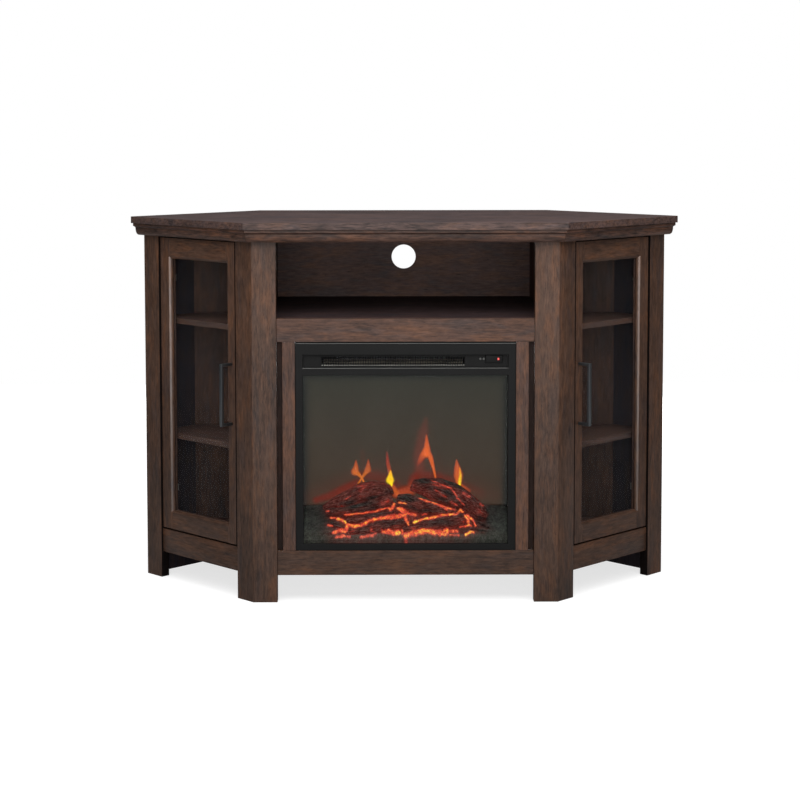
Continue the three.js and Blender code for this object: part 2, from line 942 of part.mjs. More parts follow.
function heatingElement() {
  const left = grilleLeft + element.margin;
  const right = grilleRight - element.margin;
  const front = housingFront + element.setback;
  const low = trayTop + fit;
  const high = low + element.height;
  const parts = [block(left, right, front, front + element.strip, low, high)];
  const count = Math.floor((right - left) / element.ribPitch);
  for (let i = 0; i < count; i += 1) {
    const x = left + (i + 0.5) * element.ribPitch;
    const [ribLeft, ribRight] = [x - element.rib / 2, x + element.rib / 2];
    parts.push(block(ribLeft, ribRight, front - element.ribDepth, front + element.strip / 2, low, high));
  }
  return piece('heating_element', geometryOf(joined(parts)), 'element');
}

function blowerWheel() {
  const [left, right, depth, height] = [wheelLeft, wheelRight, blower.depth, wheelHeight];
  const shaftLeft = left - blower.shaftLength;
  const shaftRight = right + blower.shaftLength;
  const parts = [rodAlongX(blower.shaftRadius, shaftLeft, shaftRight, depth, height, spindle.segments)];
  const step = (right - left - blower.disc) / (blower.discs - 1);
  for (let i = 0; i < blower.discs; i += 1) {
    const start = left + i * step;
    parts.push(rodAlongX(blower.radius, start, start + blower.disc, depth, height, blower.segments));
  }
  for (let i = 0; i < blower.blades; i += 1) {
    const angle = (2 * Math.PI * i) / blower.blades;
    const bladeTop = blower.radius - blower.blade;
    const bladeFoot = bladeTop - blower.bladeWidth;
    const blade = block(left, right, -blower.blade / 2, blower.blade / 2, bladeFoot, bladeTop);
    parts.push(blade.rotateX(angle).translate(0, depth, height));
  }
  return piece('blower_wheel', geometryOf(joined(parts)), 'steel');
}

function blowerMotor() {
  const left = wheelRight + blower.shaftLength + fit;
  const right = left + blower.motorLength;
  const can = rodAlongX(blower.motorRadius, left, right, blower.depth, wheelHeight, blower.segments);
  const foot = block(
    left, right, blower.depth - blower.motorFoot / 2, blower.depth + blower.motorFoot / 2,
    trayTop + fit, wheelHeight,
  );
  return piece('blower_motor', geometryOf(joined([can, foot])), 'steel');
}

function flameScreen() {
  const half = chamberHalf - fit;
  const low = chamberLow + fire.screenRise;
  const geometry = block(-half, half, screenFront, screenFront + fire.screen, low, trayLow - fit);
  return piece('flame_screen', geometry, 'screen');
}

const bedFront = housingFront + fit;
const bedRear = screenFront - fit;
const bedSlope = Math.atan2(bedRearHeight - bedFrontHeight, bedRear - bedFront);

function emberBed() {
  const half = chamberHalf - fit;
  const low = chamberLow + fit;
  const drop = fire.bedSheet / Math.cos(bedSlope);
  const inner = bedFront + fire.bedSheet;
  const profile = [
    [bedFront, low], [bedFront, bedFrontHeight], [bedRear, bedRearHeight],
    [bedRear, bedRearHeight - drop],
    [inner, bedFrontHeight + fire.bedSheet * Math.tan(bedSlope) - drop], [inner, low],
  ];
  const ring = (x) => profile.map(([y, z]) => new THREE.Vector3(x, y, z));
  return piece('ember_bed', skin([ring(-half), ring(half)]), 'ember');
}

// Log lying on the sloping bed, thicker towards the middle of the fire
function log(name, sizes) {
  const { outerRadius, innerRadius } = sizes;
  const x = sizes.placeShare * chamberHalf;
  const length = sizes.lengthShare * chamberHalf;
  const rings = [];
  for (let r = 0; r <= fire.logRings; r += 1) {
    const share = r / fire.logRings;
    const fromOuter = x < 0 ? share : 1 - share;
    const mean = outerRadius + (innerRadius - outerRadius) * fromOuter;
    const radius = mean * (1 - logSwellShare * Math.cos(2 * Math.PI * share));
    const ring = [];
    for (let i = 0; i < fire.logSides; i += 1) {
      const angle = (2 * Math.PI * i) / fire.logSides;
      const reach = radius * (1 + logLobeShare * Math.cos(fire.logLobes * angle + share));
      const along = (share - 1 / 2) * length;
      ring.push(new THREE.Vector3(along, reach * Math.cos(angle), reach * Math.sin(angle)));
    }
    rings.push(ring);
  }
  const geometry = skin(rings).rotateZ(THREE.MathUtils.degToRad(sizes.turnDegrees));
  geometry.computeBoundingBox();
  const rise = fit - geometry.boundingBox.min.z;
  geometry.translate(0, sizes.slopeDistance, rise).rotateX(bedSlope);
  return piece(name, geometry.translate(x, bedFront, bedFrontHeight), 'log');
}

function flameSpindle() {
  const left = -chamberHalf + fit + spindle.motorLength + fit;
  const right = chamberHalf - fit;
  const y = spindleDepth;
  const parts = [rodAlongX(spindle.radius, left, right, y, spindleHeight, spindle.segments)];
  const span = right - left - 2 * spindle.margin;
  for (let i = 0; i < spindle.strips; i += 1) {
    const centre = left + spindle.margin + (i + 0.5) * (span / spindle.strips);
    const strip = block(
      -spindle.stripWidth / 2, spindle.stripWidth / 2, -spindle.strip / 2, spindle.strip / 2,
      -spindle.stripLength, spindle.stripLength,
    );
    parts.push(strip.rotateX(i * spindle.turn).translate(centre, y, spindleHeight));
  }
  return piece('flame_spindle', geometryOf(joined(parts)), 'steel');
}

function spindleMotor() {
  const left = -chamberHalf + fit;
  const geometry = rodAlongX(
    spindle.motorRadius, left, left + spindle.motorLength, spindleDepth, spindleHeight, blower.segments,
  );
  return piece('spindle_motor', geometry, 'steel');
}

function lampBoard() {
  const low = chamberLow + fit;
  const front = housingFront + lamps.depth;
  const half = chamberHalf - lamps.endGap;
  const parts = [block(-half, half, front, front + lamps.width, low, low + lamps.thickness)];
  for (let i = 0; i < lamps.count; i += 1) {
    const x = (i - (lamps.count - 1) / 2) * ((2 * half) / lamps.count);
    const { lampRadius, lampHeight } = lamps;
    const lamp = new THREE.CylinderGeometry(lampRadius, lampRadius, lampHeight, lamps.segments);
    lamp.rotateX(Math.PI / 2).translate(x, front + lamps.width / 2, low + lampHeight / 2);
    parts.push(lamp);
  }
  return piece('lamp_board', geometryOf(joined(parts)), 'board');
}

function powerInlet() {
  const neck = gland.holeRadius - fit;
  const flangeEnd = fit + gland.flange;
  const bossEnd = flangeEnd + gland.boss;
  const profile = [
    [gland.boreRadius, -gland.neck], [neck, -gland.neck], [neck, fit], [gland.flangeRadius, fit],
    [gland.flangeRadius, flangeEnd], [gland.bossRadius, flangeEnd],
    [gland.bossRadius, bossEnd], [gland.boreRadius, bossEnd],
    [gland.boreRadius, -gland.neck],
  ].map(([radius, y]) => new THREE.Vector2(radius, y));
  const geometry = new THREE.LatheGeometry(profile, gland.segments);
  return piece('power_inlet', geometry.translate(glandX, housingRear, glandHeight), 'blackPlastic');
}

// Whole stand
const stand = new THREE.Group();
stand.position.y = -cornerY;

stand.add(topSlab(), ...crownPieces(), bottomPanel(), mediaShelf(), mediaBack());
stand.add(frontRail('mid_rail', midLow, midTop));
stand.add(frontRail('front_bottom_rail', rail.low, bottomTop));

sides.forEach((side) => {
  const slanted = sideGroup(side);
  slanted.add(outerPost(side), sideRail(side));
  slanted.add(doorFrame(side), doorGlass(side), doorHandle(side));
  hingeHeights().forEach((height, index) => {
    slanted.add(hingeCup(side, height, index), hingeArm(side, height, index));
  });
  stand.add(slanted);
  stand.add(frontPost(side), wallPanel(side), divider(side), cupboardBack(side), fillerPanel(side));
  stand.add(cupboardShelf(side, 'lower', cupboard.lowerShelfShare));
  stand.add(cupboardShelf(side, 'upper', cupboard.upperShelfShare));
});

stand.add(frontFrame(), insertGlass(), housing(), controlFascia(), heaterGrille(), powerRocker());
const [modePlace, heatPlace] = buttonPlaces();
stand.add(pushButton('mode_button', modePlace), pushButton('heat_button', heatPlace));
stand.add(heatingElement(), blowerWheel(), blowerMotor());
stand.add(flameScreen(), emberBed(), log('left_log', leftLog), log('right_log', rightLog));
stand.add(flameSpindle(), spindleMotor(), lampBoard(), powerInlet());

const model = new THREE.Group();
model.add(stand);
export default model;
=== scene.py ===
"""Looks of a corner television stand with two glass doors, an open media bay and an electric fireplace.

Metres, +Z up, the front faces -Y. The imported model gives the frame; every piece rides on one of its bodies.
"""
import logging
import math
from dataclasses import dataclass
from enum import Enum
from functools import cache
from typing import Callable, ClassVar, Iterable, Optional, Sequence, Union

import bmesh
import bpy
import numpy as np
from mathutils import Euler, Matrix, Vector, noise


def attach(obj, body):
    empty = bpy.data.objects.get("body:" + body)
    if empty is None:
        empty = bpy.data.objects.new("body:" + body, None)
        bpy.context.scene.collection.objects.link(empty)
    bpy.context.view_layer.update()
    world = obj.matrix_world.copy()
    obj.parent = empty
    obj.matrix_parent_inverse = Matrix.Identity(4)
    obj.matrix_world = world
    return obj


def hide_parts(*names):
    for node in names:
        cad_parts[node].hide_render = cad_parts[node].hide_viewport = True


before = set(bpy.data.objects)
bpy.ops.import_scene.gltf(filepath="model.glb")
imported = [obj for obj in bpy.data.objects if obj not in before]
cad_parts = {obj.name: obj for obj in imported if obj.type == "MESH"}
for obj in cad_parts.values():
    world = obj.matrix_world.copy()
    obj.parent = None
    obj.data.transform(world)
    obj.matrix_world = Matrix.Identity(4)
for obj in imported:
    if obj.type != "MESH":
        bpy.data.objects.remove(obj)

LOG = logging.getLogger("corner_stand")
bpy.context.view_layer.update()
MM = 0.001
UP = Vector((0, 0, 1))
BACK = Vector((0, 1, 0))
POST_FACE = 233.7 * MM
DIAGONAL = 0.7071068
MERGE_REACH = 0.00002
CUT_REACH = 0.000001
SHARP_ANGLE = 38
FULL_TURN = 6.28
BRIGHTEST = 50
BLOCK_FACES = ((0, 1, 2, 3), (7, 6, 5, 4), (0, 4, 5, 1), (1, 5, 6, 2), (2, 6, 7, 3), (3, 7, 4, 0))

Point = tuple[float, float, float]
Span = tuple[float, float]
Colour = tuple[float, float, float]
Steps = tuple[int, int, int]
Array = np.ndarray
Mesh = bpy.types.Mesh
Material = bpy.types.Material
Node = bpy.types.Node
Shape = bmesh.types.BMesh
Socket = bpy.types.NodeSocket
Feed = Union[float, Sequence[float], Socket]


class Body(str, Enum):
    """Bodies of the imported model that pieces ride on."""

    CASE = "case"
    LEFT_DOOR = "left_door"
    RIGHT_DOOR = "right_door"
    ROCKER = "power_rocker"
    MODE = "mode_button"
    HEAT = "heat_button"
    SPINDLE = "flame_spindle"
    BLOWER = "blower_wheel"


class Side(Enum):
    """The two slanted sides of the stand, with the sign of their X."""

    LEFT = -1
    RIGHT = 1

    @property
    def label(self) -> str:
        """Name used at the start of node names."""
        return self.name.lower()

    @property
    def door(self) -> Body:
        """Body of this side's door."""
        return Body.LEFT_DOOR if self is Side.LEFT else Body.RIGHT_DOOR


def srgb(red: int, green: int, blue: int) -> Colour:
    """Turn a colour of 0 to 255 steps into linear light."""
    shares = (red / 255, green / 255, blue / 255)
    return tuple(share / 12.92 if share <= 0.04045 else ((share + 0.055) / 1.055) ** 2.4 for share in shares)


@dataclass(frozen=True)
class SlantFrame:
    """Axes of one slanted side: along it from the crease, out of it, and up."""

    side: Side
    crease_half: float = 325 * MM
    centre_depth: float = POST_FACE

    @property
    def along(self) -> Vector:
        """Unit vector along the side, away from the crease."""
        return Vector((self.side.value, 1, 0)).normalized()

    @property
    def out(self) -> Vector:
        """Unit vector out of the side's face."""
        return Vector((self.side.value, -1, 0)).normalized()

    def point(self, along: float, out: float, height: float) -> Vector:
        """Give the scene's point that far from the crease, out of the post faces and above the floor."""
        crease = Vector((self.side.value * self.crease_half, -self.centre_depth, height))
        return crease + self.along * along + self.out * out


class NodeSheet:
    """Short calls that place and wire the nodes of one tree."""

    node_width: ClassVar[int] = 180

    def __init__(self, tree: bpy.types.NodeTree) -> None:
        """Keep the tree to work on."""
        self.tree = tree
        self.column = 0

    def add(self, kind: str, inputs: Optional[dict] = None, **settings: object) -> Node:
        """Place a node, set its fields and fill or wire its inputs.

        Args:
            kind: The node's type name.
            inputs: Input name or number to a value or to another node's output.
            **settings: Fields of the node itself.

        Returns:
            The new node.
        """
        node = self.tree.nodes.new(kind)
        node.location = (self.column * self.node_width, 0)
        self.column += 1
        for key, value in settings.items():
            setattr(node, key, value)
        self.fill(node, inputs or {})
        return node

    def maths(self, operation: str, first: Feed, second: Feed = 0.0) -> Socket:
        """Combine two numbers, each a value or an output."""
        return self.add("ShaderNodeMath", {0: first, 1: second}, operation=operation).outputs[0]

    def times(self, vector: Feed, factor: Feed) -> Socket:
        """Multiply a vector or colour by one number, each a value or an output."""
        return self.add("ShaderNodeVectorMath", {0: vector, "Scale": factor}, operation="SCALE").outputs[0]

    def scaled(self, vector: Socket, scale: Feed) -> Socket:
        """Stretch a vector by a factor on each axis."""
        return self.add("ShaderNodeVectorMath", {0: vector, 1: scale}, operation="MULTIPLY").outputs[0]

    def place(self) -> Socket:
        """Give the object coordinates' output."""
        return self.add("ShaderNodeTexCoord").outputs["Object"]

    def painted(self, name: str, output: str) -> Socket:
        """Give the output of an attribute that the mesh carries."""
        return self.add("ShaderNodeAttribute", attribute_name=name, attribute_type="GEOMETRY").outputs[output]

    def noise(self, vector: Socket, detail: float = 2.0, rough: float = 0.5, twist: float = 0.0) -> Socket:
        """Give a noise value on a vector that is already scaled."""
        values = {"Vector": vector, "Scale": 1.0, "Detail": detail, "Roughness": rough, "Distortion": twist}
        return self.add("ShaderNodeTexNoise", values).outputs[0]

    def span(self, value: Feed, low: float, high: float, to_low: float = 0.0,
             to_high: float = 1.0) -> Socket:
        """Map the values from low to high to those from to_low to to_high, held at its ends."""
        inputs = {0: value, 1: low, 2: high, 3: to_low, 4: to_high}
        return self.add("ShaderNodeMapRange", inputs, clamp=True).outputs[0]

    def blend(self, share: Feed, first: Feed, second: Feed) -> Socket:
        """Mix two colours by the share of the second."""
        return self.add("ShaderNodeMix", {0: share, 6: first, 7: second}, data_type="RGBA").outputs[2]

    def fill(self, node: Node, values: dict) -> None:
        """Fill or wire inputs of a node.

        Args:
            node: The node.
            values: Input name or number to a value or to another node's output.
        """
        for label, value in values.items():
            if isinstance(value, Socket):
                self.tree.links.new(value, node.inputs[label])
            else:
                node.inputs[label].default_value = value


def new_group(name: str, inputs: dict[str, str], outputs: dict[str, str]
              ) -> tuple[NodeSheet, Sequence[Socket], Node]:
    """Start a shader node group with named sockets.

    Args:
        name: The group's name.
        inputs: Name and kind of each input.
        outputs: Name and kind of each output.

    Returns:
        A sheet on its tree, what it is given, and its output node.
    """
    tree = bpy.data.node_groups.new(name, "ShaderNodeTree")
    for way, sockets in (("INPUT", inputs), ("OUTPUT", outputs)):
        for label, kind in sockets.items():
            tree.interface.new_socket(label, in_out=way, socket_type=f"NodeSocket{kind}")
    sheet = NodeSheet(tree)
    return sheet, sheet.add("NodeGroupInput").outputs, sheet.add("NodeGroupOutput")


class SurfaceGroups:
    """Shader groups that several materials share, each built once."""

    @staticmethod
    @cache
    def wood_grain() -> bpy.types.NodeTree:
        """Build the group that draws stained wood on board coordinates.

        Returns:
            Group from a board vector, four stains and a contrast to a colour, a gloss change and a height.
        """
        sheet, given, result = new_group(
            "wood_grain", {"Board": "Vector", "Heart": "Color", "Warm": "Color", "Cool": "Color",
                           "Pore": "Color", "Contrast": "Float"},
            {"Colour": "Color", "Gloss": "Float", "Height": "Float"})
        board = given["Board"]
        # stretch of each layer in cells a metre, octaves, share of the finer octaves, twist
        layers = [((5, 14, 14), 2, 0.5, 0.4), ((14, 60, 60), 4, 0.6, 0.8), ((-11, 52, 52), 4, 0.6, 0.5),
                  ((30, 420, 420), 4, 0.65, 0.2), ((90, 2100, 2100), 2, 0.6, 0.0),
                  ((70, 400, 400), 3, 0.5, 0.6), ((42, 180, 180), 5, 0.65, 0.4)]
        cloud, patch, other, streak, fibre, fleck, mottle = (
            sheet.noise(sheet.scaled(board, scale), *grain) for scale, *grain in layers)
        warm = sheet.maths("MULTIPLY", sheet.span(patch, 0.46, 0.62), sheet.span(cloud, 0.35, 0.6, 0.45, 1.0))
        cool = sheet.maths("MULTIPLY", sheet.span(other, 0.5, 0.66), sheet.span(cloud, 0.6, 0.4, 0.4, 1.0))
        stain = sheet.blend(warm, given["Heart"], given["Warm"])
        stain = sheet.blend(cool, stain, given["Cool"])
        tone = sheet.maths("MULTIPLY", streak, 1.5)
        for layer, share in ((fibre, 0.6), (mottle, 2.0), (cloud, 0.9)):
            tone = sheet.maths("ADD", tone, sheet.maths("MULTIPLY", layer, share))
        tone = sheet.maths("SUBTRACT", tone, 2.5)
        tone = sheet.maths("ADD", sheet.maths("MULTIPLY", tone, given["Contrast"]), 1.0)
        tone = sheet.maths("MAXIMUM", tone, 0.25)
        shaded = sheet.times(stain, tone)
        pores = sheet.span(fleck, 0.63, 0.76, 0.0, 0.75)
        colour_out = sheet.blend(pores, shaded, given["Pore"])
        height = sheet.maths("SUBTRACT", tone, sheet.maths("MULTIPLY", pores, 0.8))
        sheet.fill(result, {"Colour": colour_out, "Gloss": sheet.span(streak, 0.25, 0.75, 0.06, -0.05),
                            "Height": height})
        return sheet.tree

    @staticmethod
    @cache
    def fine_relief() -> bpy.types.NodeTree:
        """Build the group of fine surface speckle for paint, plastic and metal.

        Returns:
            Group from a vector, a grain size and a stretch to a tone, a gloss change and a height.
        """
        sheet, given, result = new_group(
            "fine_relief", {"Vector": "Vector", "Grain": "Float", "Stretch": "Vector"},
            {"Tone": "Float", "Gloss": "Float", "Height": "Float"})
        along = sheet.scaled(given["Vector"], given["Stretch"])
        speckle = sheet.noise(sheet.times(along, given["Grain"]), 3, 0.55)
        smear = sheet.noise(sheet.scaled(along, (14, 14, 14)), 3, 0.5, 0.4)
        sheet.fill(result, {"Tone": sheet.span(smear, 0.3, 0.7, 0.88, 1.1),
                            "Gloss": sheet.span(smear, 0.3, 0.7, -0.07, 0.07), "Height": speckle})
        return sheet.tree


def start_material(name: str) -> tuple[Material, NodeSheet, Node]:
    """Start a node material.

    Args:
        name: The material's name.

    Returns:
        The material, a sheet on its tree and its Principled shader.
    """
    material = bpy.data.materials.new(name)
    material.use_nodes = True
    return material, NodeSheet(material.node_tree), material.node_tree.nodes["Principled BSDF"]


def add_bump(sheet: NodeSheet, shader: Node, height: Socket, strength: float, distance: float) -> None:
    """Feed a height into the shader's normal, with the relief's depth in metres as distance."""
    bump = sheet.add("ShaderNodeBump", {"Height": height, "Strength": strength, "Distance": distance})
    sheet.fill(shader, {"Normal": bump.outputs[0]})


@dataclass(frozen=True)
class WoodFinish:
    """Stained and lacquered wood, drawn along each board's own grain."""

    name: str
    heart: Steps
    warm: Steps
    cool: Steps
    pore: Steps
    contrast: float = 1.0
    roughness: float = 0.42
    specular: float = 0.24
    coat: float = 0.0
    # Share of the colour left at the floor, and the heights over which this painted shade fades out.
    foot_tone: float = 1.0
    tone_low: float = 200 * MM
    tone_high: float = 750 * MM
    coat_roughness: float = 0.2
    relief: float = 0.22
    depth: float = 0.4 * MM

    def build(self) -> Material:
        """Make the material.

        Returns:
            The wood material.
        """
        material, sheet, shader = start_material(self.name)
        stains = {"Heart": self.heart, "Warm": self.warm, "Cool": self.cool, "Pore": self.pore}
        group = sheet.add("ShaderNodeGroup", node_tree=SurfaceGroups.wood_grain())
        sheet.fill(group, {"Board": sheet.painted("board", "Vector"), "Contrast": self.contrast})
        sheet.fill(group, {label: (*srgb(*stain), 1.0) for label, stain in stains.items()})
        colour = group.outputs["Colour"]
        # Darker towards the floor: painted shade of light that falls from above.
        if self.foot_tone < 1.0:
            height = sheet.add("ShaderNodeSeparateXYZ", {0: sheet.place()}).outputs["Z"]
            tone = sheet.span(height, self.tone_low, self.tone_high, self.foot_tone, 1.0)
            colour = sheet.times(colour, tone)
        rough = sheet.maths("ADD", group.outputs["Gloss"], self.roughness)
        sheet.fill(shader, {"Base Color": colour, "Roughness": rough, "Specular IOR Level": self.specular,
                            "Coat Weight": self.coat, "Coat Roughness": self.coat_roughness})
        add_bump(sheet, shader, group.outputs["Height"], self.relief, self.depth)
        return material


@dataclass(frozen=True)
class HardFinish:
    """Painted metal, bare metal or moulded plastic with fine relief."""

    name: str
    colour: Steps
    metallic: float = 0.0
    roughness: float = 0.45
    grain: float = 900.0
    stretch: Point = (1.0, 1.0, 1.0)
    relief: float = 0.1
    depth: float = 0.2 * MM
    specular: float = 0.5
    coat: float = 0.0
    glow: Optional[Steps] = None
    glow_strength: float = 0.0

    def build(self) -> Material:
        """Make the material.

        Returns:
            The material.
        """
        material, sheet, shader = start_material(self.name)
        group = sheet.add("ShaderNodeGroup", node_tree=SurfaceGroups.fine_relief())
        sheet.fill(group, {"Vector": sheet.place(), "Grain": self.grain, "Stretch": self.stretch})
        rough = sheet.maths("ADD", group.outputs["Gloss"], self.roughness)
        sheet.fill(shader, {"Base Color": sheet.times(srgb(*self.colour), group.outputs["Tone"]),
                            "Roughness": rough, "Metallic": self.metallic,
                            "Specular IOR Level": self.specular, "Coat Weight": self.coat})
        if self.glow:
            light = (*srgb(*self.glow), 1.0)
            sheet.fill(shader, {"Emission Color": light, "Emission Strength": self.glow_strength})
        add_bump(sheet, shader, group.outputs["Height"], self.relief, self.depth)
        return material


@dataclass(frozen=True)
class GlassFinish:
    """Clear or smoked pane that lets light and shadow rays through."""

    name: str
    tint: Colour
    film: Colour
    shade: Colour
    index: float = 1.06
    smear_scale: Point = (9, 9, 5)

    def build(self) -> Material:
        """Make the material.

        Returns:
            The glass material.
        """
        material, sheet, shader = start_material(self.name)
        smear = sheet.noise(sheet.scaled(sheet.place(), self.smear_scale), 3, 0.5, 0.5)
        tone = sheet.blend(sheet.span(smear, 0.35, 0.75), (*self.tint, 1.0), (*self.film, 1.0))
        sheet.fill(shader, {"Transmission Weight": 1.0, "IOR": self.index, "Roughness": 0.0,
                            "Base Color": tone})
        clear = sheet.add("ShaderNodeBsdfTransparent", {"Color": (*self.shade, 1.0)})
        ray = sheet.add("ShaderNodeLightPath").outputs
        soft = sheet.maths("MAXIMUM", ray["Is Shadow Ray"], ray["Is Diffuse Ray"])
        mix = sheet.add("ShaderNodeMixShader", {0: soft, 1: shader.outputs[0], 2: clear.outputs[0]})
        sheet.fill(sheet.tree.nodes["Material Output"], {"Surface": mix.outputs[0]})
        return material


@dataclass(frozen=True)
class GlowFinish:
    """Charred or ashy relief whose vertices carry a colour and a glow."""

    name: str
    grain: float = 600.0
    relief: float = 0.6
    depth: float = 1.2 * MM
    roughness: float = 0.85
    specular: float = 0.2

    def build(self) -> Material:
        """Make the material.

        Returns:
            The material, which reads the attributes tint and glow.
        """
        material, sheet, shader = start_material(self.name)
        group = sheet.add("ShaderNodeGroup", node_tree=SurfaceGroups.fine_relief())
        sheet.fill(group, {"Vector": sheet.place(), "Grain": self.grain, "Stretch": (1.0, 1.0, 1.0)})
        speckle = sheet.span(group.outputs["Height"], 0.3, 0.7, 0.55, 1.4)
        sheet.fill(shader, {"Base Color": sheet.times(sheet.painted("tint", "Color"), speckle),
                            "Emission Color": sheet.times(sheet.painted("glow", "Color"), speckle),
                            "Emission Strength": 1.0, "Roughness": self.roughness,
                            "Specular IOR Level": self.specular})
        add_bump(sheet, shader, group.outputs["Height"], self.relief, self.depth)
        return material


Finish = Union[WoodFinish, HardFinish, GlassFinish, GlowFinish]


class Finishes:
    """All finishes of the stand, each built when first used."""

    # Case wood, darkened towards the floor by painted shade.
    CASE_WOOD = WoodFinish("stained_wood", (75, 54, 43), (87, 58, 41), (68, 52, 46), (30, 21, 17),
                           foot_tone=0.78)
    TOP_WOOD = WoodFinish("stained_wood_top", (68, 54, 53), (74, 55, 49), (62, 54, 57), (36, 27, 25), 1.3)
    RIM_WOOD = WoodFinish("stained_wood_rim", (72, 56, 52), (82, 60, 50), (64, 54, 54), (30, 22, 20), 1.5)
    RAIL_WOOD = WoodFinish("stained_wood_warm", (76, 53, 43), (88, 58, 41), (68, 52, 47), (32, 21, 17))
    CROWN_WOOD = WoodFinish("stained_wood_crown", (70, 50, 42), (84, 56, 42), (60, 48, 45), (32, 22, 19),
                            1.5)
    # Lightened wood for the media bay's back panel, standing in for light that the slab keeps out: painted
    # light.
    BAY_WOOD = WoodFinish("stained_wood_bay", (112, 91, 86), (124, 95, 82), (102, 90, 89), (62, 50, 47),
                          0.6, 0.6, 0.15)
    BAY_FLOOR = WoodFinish("stained_wood_bay_floor", (64, 52, 53), (71, 54, 51), (57, 51, 54), (34, 27, 27),
                           0.7, 0.7, 0.05)
    INNER_WOOD = WoodFinish("stained_wood_inside", (70, 51, 45), (80, 55, 44), (61, 50, 49), (33, 23, 20),
                            0.7, 0.6, 0.15)
    # Dark bluish wood for the wall panels' inner faces: painted shade.
    WALL_WOOD = WoodFinish("stained_wood_wall", (51, 45, 50), (58, 47, 46), (43, 42, 49), (22, 20, 22), 0.5,
                           0.6, 0.15)
    # Near-black wood for the sides of the door gaps and the door rims: painted gap shade.
    EDGE_WOOD = WoodFinish("stained_wood_edge", (18, 13, 12), (22, 15, 12), (15, 13, 13), (8, 6, 6), 0.5,
                           0.7, 0.05)
    # Dark wood for the filler's recessed step: painted shade.
    RECESS_WOOD = WoodFinish("stained_wood_recess", (42, 30, 26), (48, 32, 25), (38, 30, 28), (20, 14, 12),
                             0.7, 0.6, 0.1)
    # Pale wood for the outer stile's slope, darker towards the floor: painted highlight.
    BEVEL_WOOD = WoodFinish("stained_wood_bevel", (124, 106, 98), (134, 108, 94), (112, 102, 102),
                            (84, 64, 54), 0.5, 0.24, 0.4, 0.2, 0.5)
    DOOR_GLASS = GlassFinish("door_glass", (0.93, 0.95, 0.96), (0.9, 0.92, 0.92), (0.85, 0.87, 0.87))
    FIRE_GLASS = GlassFinish("fire_glass", (0.9, 0.92, 0.9), (0.86, 0.88, 0.86), (0.5, 0.5, 0.5))
    HANDLE = HardFinish("handle_gunmetal", (98, 101, 104), 1.0, 0.42, 700, (1, 1, 0.05), 0.15)
    STEEL = HardFinish("hinge_nickel", (118, 118, 116), 1.0, 0.3, 900, (1, 1, 0.3), 0.06)
    ZINC = HardFinish("motor_zinc", (150, 152, 152), 1.0, 0.45, 500, relief=0.12)
    ALUMINIUM = HardFinish("bright_aluminium", (206, 208, 210), 1.0, 0.28, 900, (0.2, 1, 1), 0.08)
    BLACK_METAL = HardFinish("black_powder_coat", (24, 24, 24), 0.0, 0.42, 1500, relief=0.22, specular=0.08)
    DUCT_METAL = HardFinish("black_sheet", (28, 28, 27), 0.0, 0.55, 1300, relief=0.2)
    BLACK_PLASTIC = HardFinish("black_plastic", (19, 19, 19), 0.0, 0.5, 1900, relief=0.18, depth=0.15 * MM,
                               specular=0.12)
    BOARD = HardFinish("lamp_board_green", (46, 92, 58), 0.0, 0.5, 800, relief=0.1)
    RED_LENS = HardFinish("red_lens", (150, 20, 18), 0.0, 0.2, 800, relief=0.02, depth=0.1 * MM, coat=0.4,
                          glow=(235, 40, 30), glow_strength=0.9)
    # Light grey for the insert frame's upward-leaning edges: painted highlight.
    BLACK_ARRIS = HardFinish("black_edge_sheen", (84, 84, 81), 0.0, 0.4, 900, relief=0.05)
    MARK = HardFinish("pale_mark", (78, 78, 76), 0.0, 0.6, 900, relief=0.05)
    RIBBON = HardFinish("heater_ribbon", (84, 80, 70), 1.0, 0.4, 900, relief=0.08)
    LIP = HardFinish("bright_lip", (200, 198, 188), 0.0, 0.4, 900, relief=0.08)
    MICA = HardFinish("mica_strip", (96, 84, 66), 0.0, 0.5, 260, relief=0.2)
    LOG = GlowFinish("charred_bark", 300, 0.6, 1.4 * MM)
    ASH = GlowFinish("ash_and_ember", 520, 0.8, 1.6 * MM)
    SCREEN = GlowFinish("flame_screen_film", 900, 0.05, 0.2 * MM, 0.8, 0.02)

    @staticmethod
    @cache
    def get(finish: Finish) -> Material:
        """Give a finish's material, building it the first time."""
        return finish.build()


def filled(name: str, shape: Shape) -> Mesh:
    """Turn a shape into a named mesh.

    Args:
        name: The mesh's name.
        shape: The shape, which is freed.

    Returns:
        The mesh.
    """
    mesh = bpy.data.meshes.new(name)
    shape.to_mesh(mesh)
    shape.free()
    return mesh


def linked(name: str, data: object) -> bpy.types.Object:
    """Put a new object into the scene.

    Args:
        name: The object's name.
        data: The mesh, camera or lamp that it holds.

    Returns:
        The object.
    """
    piece = bpy.data.objects.new(name, data)
    bpy.context.scene.collection.objects.link(piece)
    return piece


def settle(name: str, mesh: Mesh, body: Body, finish: Finish,
           replaces: Sequence[str] = (), smooth: bool = False,
           more: Sequence[Finish] = ()) -> bpy.types.Object:
    """Turn a finished mesh into a piece of the stand.

    Args:
        name: The piece's name.
        mesh: Its mesh, already in place.
        body: The body it rides on.
        finish: Its finish.
        replaces: CAD nodes that it stands for.
        smooth: Whether its faces shade smoothly up to sharp edges.
        more: Further finishes that some of its faces already point to.

    Returns:
        The piece's object.
    """
    piece = linked(name, mesh)
    mesh.name = name
    chosen = [polygon.material_index for polygon in mesh.polygons] if more else []
    mesh.materials.clear()
    for each in (finish, *more):
        mesh.materials.append(Finishes.get(each))
    if more:
        mesh.polygons.foreach_set("material_index", chosen)
    if smooth:
        mesh.shade_smooth()
        mesh.set_sharp_from_angle(angle=math.radians(SHARP_ANGLE))
    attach(piece, body.value)
    if replaces:
        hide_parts(*replaces)
    LOG.info("%s: %d faces on %s", name, len(mesh.polygons), body.value)
    return piece


